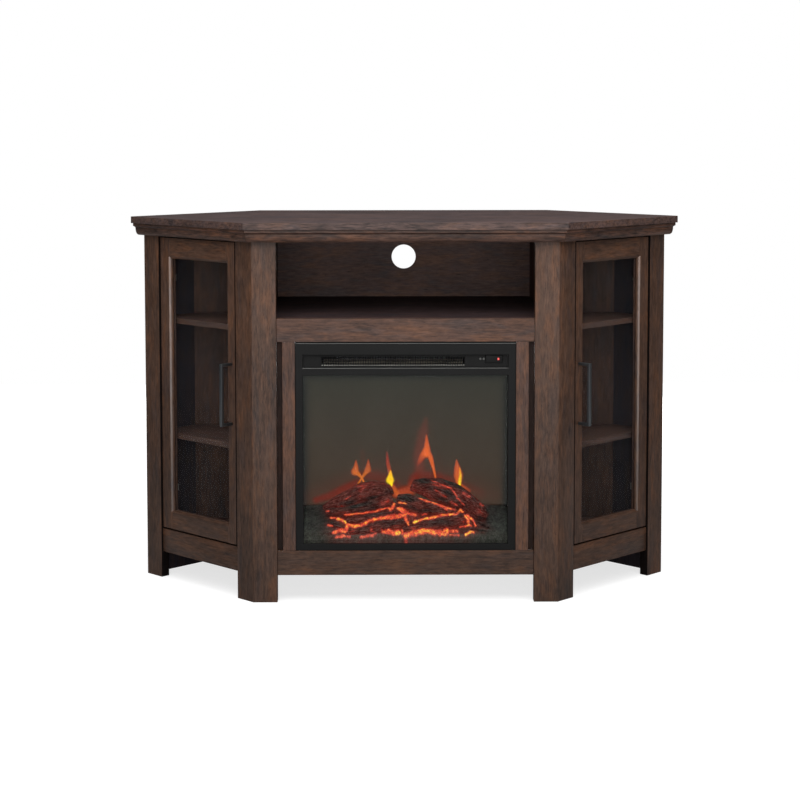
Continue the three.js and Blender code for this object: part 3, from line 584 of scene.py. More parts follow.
def evaluated(piece: bpy.types.Object) -> Mesh:
    """Apply an object's modifiers and give the plain mesh, leaving no object behind.

    Args:
        piece: Object with modifiers.

    Returns:
        The resulting mesh.
    """
    bpy.context.view_layer.update()
    graph = bpy.context.evaluated_depsgraph_get()
    mesh = bpy.data.meshes.new_from_object(piece.evaluated_get(graph), preserve_all_data_layers=True,
                                           depsgraph=graph)
    bpy.data.objects.remove(piece, do_unlink=True)
    return mesh


def node_mesh(node: str) -> Shape:
    """Copy a CAD node's mesh, with its loose triangles joined into plain faces.

    Args:
        node: The node's name.

    Returns:
        The joined copy.
    """
    shape = bmesh.new()
    shape.from_mesh(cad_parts[node].data)
    bmesh.ops.remove_doubles(shape, verts=shape.verts, dist=MERGE_REACH)
    bmesh.ops.dissolve_limit(shape, angle_limit=math.radians(0.5), verts=shape.verts, edges=shape.edges)
    return shape


def eased(shape: Shape, width: float, segments: int = 2, angle: float = 30) -> Mesh:
    """Round a shape's sharp edges as a maker eases them.

    Args:
        shape: The shape, which is used up.
        width: Width of the eased edge.
        segments: Steps across it.
        angle: Smallest angle in degrees that counts as an edge.

    Returns:
        The eased mesh.
    """
    holder = linked("eased", filled("eased", shape))
    bevel = holder.modifiers.new("ease", "BEVEL")
    bevel.width = width
    bevel.segments = segments
    bevel.limit_method = "ANGLE"
    bevel.angle_limit = math.radians(angle)
    bevel.use_clamp_overlap = True
    return evaluated(holder)


def vertex_places(mesh: Mesh) -> Array:
    """Give a mesh's points as rows of three."""
    return np.array([vertex.co[:] for vertex in mesh.vertices])


def lay_grain(mesh: Mesh, along: Vector, across: Vector, seed: int) -> None:
    """Write board coordinates whose first axis runs along the grain.

    Args:
        mesh: The board's mesh.
        along: Unit vector along the grain.
        across: Unit vector across the face.
        seed: Number that picks the piece of the log.
    """
    axes = np.array([along[:], across[:], along.cross(across)[:]])
    offset = np.random.default_rng(seed).uniform(1.0, 9.0, 3)
    board = vertex_places(mesh) @ axes.T + offset
    layer = mesh.attributes.new("board", "FLOAT_VECTOR", "POINT")
    layer.data.foreach_set("vector", board.ravel())


def grid_mesh(points: Array, tube: bool = False) -> Mesh:
    """Join a grid of points into a mesh of four-sided faces.

    Args:
        points: Array of rows, columns and 3.
        tube: Whether each row closes on itself and the first and last rows are closed by fans.

    Returns:
        The mesh.
    """
    rows, columns = points.shape[:2]
    verts = points.reshape(-1, 3).tolist()
    faces = []
    for r in range(rows - 1):
        for c in range(columns if tube else columns - 1):
            d = (c + 1) % columns
            faces.append((r * columns + c, r * columns + d, (r + 1) * columns + d, (r + 1) * columns + c))
    for row in (0, rows - 1) if tube else ():
        centre = len(verts)
        verts.append(points[row].mean(axis=0).tolist())
        for c in range(columns):
            first, second = row * columns + c, row * columns + (c + 1) % columns
            faces.append((first, second, centre) if row else (second, first, centre))
    mesh = bpy.data.meshes.new("grid")
    mesh.from_pydata(verts, [], faces)
    return mesh


def paint(mesh: Mesh, name: str, colours: Array) -> None:
    """Write a colour for each vertex.

    Args:
        mesh: The mesh.
        name: The attribute's name.
        colours: One linear colour a vertex.
    """
    layer = mesh.attributes.new(name, "FLOAT_COLOR", "POINT")
    full = np.concatenate([np.clip(colours, 0, BRIGHTEST), np.ones((len(colours), 1))], axis=1)
    layer.data.foreach_set("color", full.astype(np.float32).ravel())


def joined_meshes(name: str, meshes: Iterable[Mesh]) -> Mesh:
    """Put several meshes into one.

    Args:
        name: The new mesh's name.
        meshes: Meshes to join, which are used up.

    Returns:
        The joined mesh.
    """
    shape = bmesh.new()
    for mesh in meshes:
        shape.from_mesh(mesh)
        bpy.data.meshes.remove(mesh)
    return filled(name, shape)


def blocks(solids: Iterable[Sequence[Point]]) -> Shape:
    """Make six-sided solids.

    Args:
        solids: Eight corners of each, four round one face and then the four across from them.

    Returns:
        The shape that holds them all.
    """
    shape = bmesh.new()
    for corners in solids:
        verts = [shape.verts.new(corner) for corner in corners]
        for face in BLOCK_FACES:
            shape.faces.new([verts[k] for k in face])
    bmesh.ops.recalc_face_normals(shape, faces=shape.faces)
    return shape


def box_corners(x: Span, y: Span, z: Span) -> list[Point]:
    """List the corners of a box, given its lowest and highest value on each axis."""
    return [(x[i], depth, z[k]) for depth in y for i, k in ((0, 0), (1, 0), (1, 1), (0, 1))]


def backed(name: str, sheet: Mesh, follow: Callable[[Vector], Vector]) -> Mesh:
    """Close an open sheet into a solid.

    Args:
        name: The new mesh's name.
        sheet: The sheet, which is kept.
        follow: Gives where the copy of a rim point goes.

    Returns:
        The closed mesh.
    """
    shape = bmesh.new()
    shape.from_mesh(sheet)
    rim = [edge for edge in shape.edges if edge.is_boundary]
    made = bmesh.ops.extrude_edge_only(shape, edges=rim)["geom"]
    for vert in (item for item in made if isinstance(item, bmesh.types.BMVert)):
        vert.co = follow(vert.co)
    bmesh.ops.holes_fill(shape, edges=[edge for edge in shape.edges if edge.is_boundary], sides=0)
    bmesh.ops.recalc_face_normals(shape, faces=shape.faces)
    return filled(name, shape)


class Grain(Enum):
    """Ways that a board's grain can run, as along and across vectors."""

    WIDE_FLAT = ((1, 0, 0), (0, 1, 0))
    WIDE_UP = ((1, 0, 0), (0, 0, 1))
    TALL = ((0, 0, 1), (1, 0, 0))
    TALL_DEEP = ((0, 0, 1), (0, 1, 0))
    LEFT_UP = ((-DIAGONAL, DIAGONAL, 0), (0, 0, 1))
    RIGHT_UP = ((DIAGONAL, DIAGONAL, 0), (0, 0, 1))
    LEFT_FLAT = ((-DIAGONAL, DIAGONAL, 0), (-DIAGONAL, -DIAGONAL, 0))
    RIGHT_FLAT = ((DIAGONAL, DIAGONAL, 0), (DIAGONAL, -DIAGONAL, 0))
    LEFT_TALL = ((0, 0, 1), (-DIAGONAL, DIAGONAL, 0))
    RIGHT_TALL = ((0, 0, 1), (DIAGONAL, DIAGONAL, 0))

    @classmethod
    def of(cls, side: Side, run: str) -> "Grain":
        """Give the grain of a slanted side: UP, FLAT or TALL."""
        return cls[f"{side.name}_{run}"]

    def lay(self, mesh: Mesh, seed: int) -> None:
        """Write this grain's board coordinates on a mesh."""
        lay_grain(mesh, Vector(self.value[0]), Vector(self.value[1]), seed)


@dataclass
class EasedNode:
    """A CAD node that keeps its shape and gets eased edges."""

    node: str
    finish: Finish
    slot: str
    body: Body = Body.CASE
    width: float = 0.4 * MM
    smooth: bool = False
    segments: int = 2

    def build(self) -> bpy.types.Object:
        """Make the piece that stands for the node.

        Returns:
            The piece.
        """
        mesh = eased(node_mesh(self.node), self.width, self.segments)
        name = f"{self.node}_eased"
        return settle(name, mesh, self.body, self.finish, (self.node,), self.smooth)


@dataclass
class Carcass:
    """Boards of the case, each eased and laid with its own grain."""

    ease: float = 0.7 * MM
    top_ease: float = 0.6 * MM
    crown_ease: float = 0.4 * MM
    panel_ease: float = 0.4 * MM
    filler_step: float = 261.3 * MM
    facing: float = 0.8
    seed: int = 11

    def boards(self) -> list[tuple[str, Grain, float, WoodFinish]]:
        """List the boards.

        Returns:
            Node, grain, width of the eased edge, and finish.
        """
        case, warm, inner = Finishes.CASE_WOOD, Finishes.RAIL_WOOD, Finishes.INNER_WOOD
        rows = [
            ("top_slab", Grain.WIDE_FLAT, self.top_ease, Finishes.TOP_WOOD),
            ("crown_front", Grain.WIDE_UP, self.crown_ease, Finishes.CROWN_WOOD),
            ("crown_left", Grain.LEFT_UP, self.crown_ease, Finishes.CROWN_WOOD),
            ("crown_right", Grain.RIGHT_UP, self.crown_ease, Finishes.CROWN_WOOD),
            ("mid_rail", Grain.WIDE_UP, self.ease, warm),
            ("front_bottom_rail", Grain.WIDE_UP, self.ease, case),
            ("left_bottom_rail", Grain.LEFT_UP, self.ease, case),
            ("right_bottom_rail", Grain.RIGHT_UP, self.ease, case),
            ("bottom_panel", Grain.WIDE_FLAT, self.panel_ease, inner),
            ("media_shelf", Grain.WIDE_FLAT, self.panel_ease, Finishes.BAY_FLOOR),
            ("media_back_panel", Grain.WIDE_UP, self.panel_ease, Finishes.BAY_WOOD),
        ]
        for side in Side:
            tall, flat = Grain.of(side, "TALL"), Grain.of(side, "FLAT")
            rows += [
                (f"front_{side.label}_post", Grain.TALL, self.ease, case),
                (f"outer_{side.label}_post", tall, self.ease, case),
                (f"{side.label}_wall_panel", tall, self.panel_ease, case),
                (f"{side.label}_divider", Grain.TALL_DEEP, self.panel_ease, inner),
                (f"{side.label}_cupboard_back", Grain.TALL, self.panel_ease, inner),
                (f"{side.label}_filler", Grain.TALL, self.ease, warm),
                (f"{side.label}_upper_shelf", flat, self.panel_ease, inner),
                (f"{side.label}_lower_shelf", flat, self.panel_ease, inner),
            ]
        return rows

    def build(self) -> None:
        """Make every board."""
        for number, (node, grain, ease, finish) in enumerate(self.boards()):
            mesh = eased(node_mesh(node), ease)
            grain.lay(mesh, self.seed + number)
            # Faces in door gaps, on the filler's recessed step and on the wall panels' inner faces point at
            # painted shade.
            for polygon in mesh.polygons:
                polygon.material_index = self.face_finish(node, polygon)
            settle(f"{node}_board", mesh, Body.CASE, finish, (node,),
                   more=(Finishes.EDGE_WOOD, Finishes.RECESS_WOOD, Finishes.RIM_WOOD, Finishes.WALL_WOOD))

    def face_finish(self, node: str, polygon: bpy.types.MeshPolygon) -> int:
        """Pick the finish of a board's face.

        Args:
            node: The board's node.
            polygon: The face.

        Returns:
            0 for the board's own finish, 1 for painted gap shade on a post's side beside a door, 2 for
            painted shade on the filler's recessed step, 3 for the slab's rim, 4 for painted shade on a wall
            panel's inner face.
        """
        if node == "top_slab":
            return 3 * int(abs(polygon.normal.z) < 0.5)
        side = Side.LEFT if "left" in node else Side.RIGHT
        turned = polygon.normal.dot(SlantFrame(side).along)
        # A wall panel's inner face takes painted shade.
        if node.endswith("wall_panel"):
            return 4 * int(turned < -self.facing)
        beside = turned < -self.facing
        if not node.startswith("outer"):
            beside = turned > self.facing and node.startswith("front")
        # A post's side in a door gap takes painted gap shade.
        if beside and node.endswith("post"):
            return 1
        # The filler's recessed step takes painted shade.
        stepped = node.endswith("filler") and abs(polygon.center.x) > self.filler_step
        return 2 if stepped and polygon.normal.y < -0.5 else 0


class GeometrySheet(NodeSheet):
    """A geometry node tree with named inputs, ready to run on one object."""

    def __init__(self, name: str, inputs: dict[str, str]) -> None:
        """Start the tree.

        Args:
            name: The tree's name.
            inputs: Name and kind of each input between the geometry and the material.
        """
        tree = bpy.data.node_groups.new(name, "GeometryNodeTree")
        self.keys = {}
        for label, kind in {"Geometry": "Geometry", **inputs, "Material": "Material"}.items():
            socket = tree.interface.new_socket(label, in_out="INPUT", socket_type=f"NodeSocket{kind}")
            self.keys[label] = socket.identifier
        tree.interface.new_socket("Geometry", in_out="OUTPUT", socket_type="NodeSocketGeometry")
        super().__init__(tree)
        self.given = self.add("NodeGroupInput").outputs
        self.result = self.add("NodeGroupOutput")

    def close(self, geometry: Socket) -> None:
        """End the tree in real, dressed geometry.

        Args:
            geometry: The last geometry's output.
        """
        real = self.add("GeometryNodeRealizeInstances", {0: geometry}).outputs[0]
        dressed = self.add("GeometryNodeSetMaterial", {0: real, "Material": self.given["Material"]})
        self.fill(self.result, {0: dressed.outputs[0]})

    def run(self, base: Mesh, values: dict[str, object]) -> Mesh:
        """Run the tree on a mesh.

        Args:
            base: The mesh that goes in.
            values: Value of each named input.

        Returns:
            The plain mesh that comes out.
        """
        holder = linked("holder", base)
        modifier = holder.modifiers.new("recipe", "NODES")
        modifier.node_group = self.tree
        for label, value in values.items():
            modifier[self.keys[label]] = value
        return evaluated(holder)


class Recipes:
    """Geometry node trees of the stand, each built once."""

    @staticmethod
    @cache
    def row() -> GeometrySheet:
        """Build the tree that repeats a shape at even steps.

        Returns:
            The tree, with inputs for start, step, count and material.
        """
        sheet = GeometrySheet("even_row", {"Start": "Vector", "Step": "Vector", "Count": "Int"})
        given = sheet.given
        line = sheet.add("GeometryNodeMeshLine", {
            "Count": given["Count"], "Start Location": given["Start"], "Offset": given["Step"]}).outputs[0]
        spread = sheet.add("GeometryNodeInstanceOnPoints", {"Points": line, "Instance": given["Geometry"]})
        sheet.close(spread.outputs[0])
        return sheet

    @staticmethod
    @cache
    def ribbon() -> GeometrySheet:
        """Build the tree that folds a flat wire to and fro along X.

        Returns:
            The tree, with inputs for start, end, folds, depth, height, thickness and material.
        """
        sheet = GeometrySheet("folded_ribbon", {"Start": "Vector", "End": "Vector", "Folds": "Int",
                                                "Depth": "Float", "Height": "Float", "Thickness": "Float"})
        given = sheet.given
        line = sheet.add("GeometryNodeMeshLine", {
            "Count": given["Folds"], "Start Location": given["Start"], "Offset": given["End"]},
            mode="END_POINTS").outputs[0]
        odd = sheet.maths("MODULO", sheet.add("GeometryNodeInputIndex").outputs[0], 2.0)
        shift = sheet.maths("MULTIPLY", sheet.maths("SUBTRACT", odd, 0.5), given["Depth"])
        offset = sheet.add("ShaderNodeCombineXYZ", {1: shift}).outputs[0]
        folded = sheet.add("GeometryNodeSetPosition", {"Geometry": line, "Offset": offset}).outputs[0]
        path = sheet.add("GeometryNodeMeshToCurve", {0: folded}).outputs[0]
        strip = sheet.add("GeometryNodeCurvePrimitiveQuadrilateral", {
            "Width": given["Thickness"], "Height": given["Height"]}).outputs[0]
        sheet.close(sheet.add("GeometryNodeCurveToMesh", {0: path, 1: strip, "Fill Caps": True}).outputs[0])
        return sheet

    @staticmethod
    @cache
    def crumbs() -> GeometrySheet:
        """Build the tree that scatters a chip over a surface.

        Returns:
            The tree, with inputs for the chip, how many a square metre, sizes, seed and material.
        """
        sheet = GeometrySheet("scattered_crumbs", {"Chip": "Object", "Density": "Float", "Smallest": "Float",
                                                   "Largest": "Float", "Seed": "Int"})
        given = sheet.given
        spread = sheet.add("GeometryNodeDistributePointsOnFaces", {
            "Mesh": given["Geometry"], "Density": given["Density"], "Seed": given["Seed"]})
        chip = sheet.add("GeometryNodeObjectInfo", {"Object": given["Chip"]}).outputs["Geometry"]
        turn = sheet.add("FunctionNodeRandomValue", {
            0: (0.0, 0.0, 0.0), 1: (FULL_TURN,) * 3, "Seed": given["Seed"]},
            data_type="FLOAT_VECTOR").outputs[0]
        size = sheet.add("FunctionNodeRandomValue", {
            2: given["Smallest"], 3: given["Largest"], "Seed": given["Seed"]}, data_type="FLOAT").outputs[1]
        placed = sheet.add("GeometryNodeInstanceOnPoints", {
            "Points": spread.outputs[0], "Instance": chip, "Rotation": turn, "Scale": size})
        sheet.close(placed.outputs[0])
        return sheet


def turned_solid(outline: Sequence[Span], segments: int, axis: Vector) -> Mesh:
    """Turn an outline of radius and height round an axis through the origin.

    Args:
        outline: Pairs of radius and height from the foot to the tip, both ends at radius zero or more.
        segments: Steps round the axis.
        axis: The axis.

    Returns:
        The closed mesh.
    """
    turn = UP.rotation_difference(axis).to_matrix()
    angles = [math.tau * k / segments for k in range(segments)]
    rows = [[(turn @ Vector((radius * math.cos(angle), radius * math.sin(angle), height)))[:]
             for angle in angles] for radius, height in outline]
    return grid_mesh(np.array(rows), tube=True)


def screw_head(radius: float, axis: Vector) -> Mesh:
    """Make a countersunk screw head with a round recess at the origin, facing along the axis."""
    outline = ((1.0, -0.28), (1.0, 0.0), (0.93, 0.126), (0.6, 0.224), (0.42, 0.2296), (0.2, -0.168))
    return turned_solid([(radius * share, radius * rise) for share, rise in outline], 16, axis)


def fixing_row(fixing: Mesh, finish: HardFinish, start: Vector, step: Vector = UP, count: int = 1) -> Mesh:
    """Repeat a small fixing, which is used up, at even steps."""
    return Recipes.row().run(fixing, {"Start": tuple(start), "Step": tuple(step), "Count": count,
                                      "Material": Finishes.get(finish)})


@dataclass(frozen=True)
class HingeSizes:
    """Places that the doors and the cupboards share on their hinges."""

    heights: Span = (204.5 * MM, 677 * MM)
    screw_radius: float = 3.2 * MM
    screw_pitch: float = 36 * MM

    def screws(self, side: SlantFrame, along: float, out: float, height: float) -> Mesh:
        """Make the two screws above and below a hinge's middle.

        Args:
            side: Axes of the slanted side.
            along: Their distance from the crease.
            out: Their distance out of the post faces.
            height: Height of the hinge's middle.

        Returns:
            The screw heads' mesh.
        """
        start = side.point(along, out, height - self.screw_pitch / 2)
        head = screw_head(self.screw_radius, -side.out)
        return fixing_row(head, Finishes.STEEL, start, UP * self.screw_pitch, 2)


HINGES = HingeSizes()


@dataclass
class GlassDoor:
    """A framed door with its glass, bar handle, beads and hinge cups."""

    side: Side
    near: float = 53.8 * MM
    far: float = 312.2 * MM
    stile: float = 34 * MM
    low: float = 114.5 * MM
    high: float = 767 * MM
    top_rail: float = 46 * MM
    bottom_rail: float = 42 * MM
    joint: float = 0.06 * MM
    # Width of the painted gap shade on the inner stile's face beside the crease, and how far into the outer
    # stile's slope the painted highlight starts.
    dark_band: float = 5.4 * MM
    dark_slope: float = 2.1 * MM
    ease: float = 0.45 * MM
    bead: float = 4.6 * MM
    bead_depth: float = 3.6 * MM
    bead_ease: float = 0.4 * MM
    glass_lap: float = 5 * MM
    glass_gap: float = 0.25 * MM
    glass_rear: float = -16.5 * MM
    seed: int = 60
    bead_seed: int = 90
    cup_inset: float = 16 * MM
    cup_rear: float = -23.8 * MM
    rim_depth: float = 0.25 * MM
    slope_area: float = 400 * MM * MM
    slope_lean: Span = (0.6, 0.8)
    edge_lean: float = 0.75
    front_lean: float = 0.9

    @property
    def axes(self) -> SlantFrame:
        """Axes of the door's side."""
        return SlantFrame(self.side)

    def sliced(self, cuts: Sequence[tuple[Vector, Vector]]) -> Shape:
        """Cut the frame node down to one of its boards.

        Args:
            cuts: Point and outward normal of each cut; what lies past it goes.

        Returns:
            The closed board.
        """
        shape = node_mesh(f"{self.side.label}_door_frame")
        for point, normal in cuts:
            self.split(shape, point, normal, True)
            edges = [edge for edge in shape.edges if edge.is_boundary]
            bmesh.ops.holes_fill(shape, edges=edges, sides=0)
        bmesh.ops.recalc_face_normals(shape, faces=shape.faces)
        return shape

    @staticmethod
    def split(shape: Shape, point: Vector, normal: Vector, clear: bool = False) -> None:
        """Split a shape's faces along a plane, and clear what lies past it where asked."""
        whole = list(shape.verts) + list(shape.edges) + list(shape.faces)
        bmesh.ops.bisect_plane(shape, geom=whole, dist=CUT_REACH, plane_co=point, plane_no=normal,
                               clear_outer=clear)

    def frame_mesh(self) -> Mesh:
        """Make two stiles and two rails that butt between them.

        Returns:
            The frame's mesh.
        """
        axes = self.axes
        near, far = self.near + self.stile, self.far - self.stile
        inner, outer = axes.point(near - self.joint, 0, 0), axes.point(far + self.joint, 0, 0)
        middle = axes.point(self.near, 0, (self.low + self.high) / 2)
        rail_ends = [(axes.point(near + self.joint, 0, 0), -axes.along),
                     (axes.point(far - self.joint, 0, 0), axes.along)]
        # The stiles are split where the painted gap shade ends and the painted highlight begins.
        boards = [([(inner, axes.along)], self.near + self.dark_band),
                  ([(outer, -axes.along)], far + self.dark_slope),
                  (rail_ends + [(middle, -UP)], None), (rail_ends + [(middle, UP)], None)]
        meshes = []
        for number, (cuts, dark_line) in enumerate(boards):
            shape = self.sliced(cuts)
            if dark_line is not None:
                self.split(shape, axes.point(dark_line, 0, 0), axes.along)
            mesh = eased(shape, self.ease)
            run = "UP" if dark_line is None else "TALL"
            Grain.of(self.side, run).lay(mesh, self.seed + number + 10 * self.side.value)
            meshes.append(mesh)
        return joined_meshes("door_frame", meshes)

    def mark_faces(self, mesh: Mesh) -> None:
        """Point the outer stile's slope at a painted highlight, and the outer edges and a band beside the
        crease at painted gap shade.

        Args:
            mesh: The frame's mesh; the slope gets the second finish, the painted highlight, and the edges and
                the band the third, the painted gap shade.
        """
        axes = self.axes
        foot = axes.point(0, 0, 0)
        slope = self.far - self.stile + self.dark_slope
        flat, steep = self.slope_lean
        for polygon in mesh.polygons:
            lean, turned = polygon.normal.dot(axes.out), polygon.normal.dot(axes.along)
            place, height = (polygon.center - foot).dot(axes.along), polygon.center.z
            # The outer part of the outer stile's slope gets a painted highlight.
            if place > slope and flat < lean < steep and turned < -flat and polygon.area > self.slope_area:
                polygon.material_index = 1
            # The door's outer rims, and a band of the front beside the crease, get painted gap shade.
            rim = min(place - self.near, self.far - place, height - self.low, self.high - height)
            on_band = lean > self.front_lean and place < self.near + self.dark_band
            if rim < self.rim_depth and lean < self.edge_lean or on_band:
                polygon.material_index = 2

    def bead_mesh(self) -> Mesh:
        """Make the four retaining strips that hold the glass from behind.

        Returns:
            The strips' mesh.
        """
        inset, gap, wide = self.glass_lap - self.glass_gap, self.glass_gap, self.bead
        near, far = self.near + self.stile - inset, self.far - self.stile + inset
        low, high = self.low + self.bottom_rail - inset, self.high - self.top_rail + inset
        spans = [(near, near + wide, low, high), (far - wide, far, low, high),
                 (near + wide + gap, far - wide - gap, low, low + wide),
                 (near + wide + gap, far - wide - gap, high - wide, high)]
        faces = (self.glass_rear, self.glass_rear - self.bead_depth)
        strips = [[self.axes.point(along, out, height) for out in faces
                   for along, height in ((first, bottom), (last, bottom), (last, top), (first, top))]
                  for first, last, bottom, top in spans]
        return eased(blocks(strips), self.bead_ease)

    def build(self) -> None:
        """Make the door."""
        label, body = self.side.label, self.side.door
        boards = self.frame_mesh()
        # Painted highlight on the outer stile's slope, painted gap shade on the rims and beside the crease.
        self.mark_faces(boards)
        settle(f"{label}_door_boards", boards, body, Finishes.CASE_WOOD,
               (f"{label}_door_frame",), more=(Finishes.BEVEL_WOOD, Finishes.EDGE_WOOD))
        beads = self.bead_mesh()
        Grain.of(self.side, "TALL").lay(beads, self.bead_seed)
        settle(f"{label}_door_beads", beads, body, Finishes.INNER_WOOD)
        EasedNode(f"{label}_door_glass", Finishes.DOOR_GLASS, "clear_glass", body, 0.3 * MM).build()
        EasedNode(f"{label}_door_handle", Finishes.HANDLE, "handle_metal", body, 0.7 * MM, True, 3).build()
        for level in ("upper", "lower"):
            cup = f"{label}_{level}_hinge_cup"
            EasedNode(cup, Finishes.STEEL, "plated_steel", body, 0.3 * MM, True).build()
        screws = [HINGES.screws(self.axes, self.far - self.cup_inset, self.cup_rear, height)
                  for height in HINGES.heights]
        settle(f"{label}_hinge_cup_screws", joined_meshes("screws", screws), body, Finishes.STEEL,
               smooth=True)


@dataclass
class SideCupboard:
    """Fittings inside one side cupboard: hinge arms, shelf pins and spare pin holes."""

    side: Side
    arm_front: float = -30.3 * MM
    arm_along: float = 322 * MM
    arm_screw_radius: float = 2.6 * MM
    arm_screw_pitch: float = 12 * MM
    plate_front: float = -26.8 * MM
    plate_along: float = 340 * MM
    rear_face: float = 100 * MM
    divider_pins: Span = (-115 * MM, 65 * MM)
    back_pins: Span = (460.8 * MM, 350 * MM)
    divider_face: float = 315.29 * MM
    shelf_feet: Span = (574.7 * MM, 315.8 * MM)
    pin_radius: float = 2.4 * MM
    pin_reach: float = 8 * MM
    pin_drop: float = 2.6 * MM
    hole_pitch: float = 46.3 * MM

    def pin(self, axis: Vector) -> Mesh:
        """Make a shelf pin.

        Args:
            axis: Direction out of the wall.

        Returns:
            The pin at the origin.
        """
        radius, reach = self.pin_radius, self.pin_reach
        collar, tip = radius * 1.7, radius * 0.7
        outline = [(collar, 0.2 * MM), (collar, 1.2 * MM), (radius, 1.6 * MM), (radius, reach - 0.8 * MM),
                   (tip, reach)]
        return turned_solid(outline, 12, axis)

    def hole(self, axis: Vector) -> Mesh:
        """Make the dark mouth of a spare pin hole at the origin, facing along the axis."""
        outline = ((1.0, -0.4), (1.0, 0.12), (0.85, 0.1), (0.5, -0.2))
        return turned_solid([(self.pin_radius * share, rise * MM) for share, rise in outline], 14, axis)

    def spots(self) -> list[tuple[Vector, Vector]]:
        """List where the pins stand, below a shelf at height zero.

        Returns:
            Point on the wall and direction out of it.
        """
        s = self.side.value
        spots = [(Vector((s * self.divider_face, y, 0)), Vector((s, 0, 0))) for y in self.divider_pins]
        return spots + [(Vector((s * x, self.rear_face, 0)), -BACK) for x in self.back_pins]

    def build(self) -> None:
        """Make the fittings."""
        label, axes = self.side.label, SlantFrame(self.side)
        pins, holes, heads = [], [], []
        for place, axis in self.spots():
            for foot in self.shelf_feet:
                at = place + UP * (foot - self.pin_drop)
                pins.append(fixing_row(self.pin(axis), Finishes.STEEL, at))
                for shift in (-self.hole_pitch, self.hole_pitch):
                    holes.append(fixing_row(self.hole(axis), Finishes.BLACK_PLASTIC, at + UP * shift))
        settle(f"{label}_shelf_pins", joined_meshes("pins", pins), Body.CASE, Finishes.STEEL,
               smooth=True)
        settle(f"{label}_pin_holes", joined_meshes("holes", holes), Body.CASE, Finishes.BLACK_PLASTIC)
        for level, height in zip(("lower", "upper"), HINGES.heights):
            EasedNode(f"{label}_{level}_hinge_arm", Finishes.STEEL, "plated_steel").build()
            heads.append(HINGES.screws(axes, self.plate_along, self.plate_front, height))
            heads.append(fixing_row(screw_head(self.arm_screw_radius, -axes.out), Finishes.STEEL,
                                    axes.point(self.arm_along, self.arm_front, height),
                                    -axes.along * self.arm_screw_pitch, 2))
        settle(f"{label}_hinge_plate_screws", joined_meshes("heads", heads), Body.CASE, Finishes.STEEL,
               smooth=True)


def shift_y(depth: float) -> float:
    """Turn a depth behind the front posts into the scene's Y."""
    return depth - POST_FACE


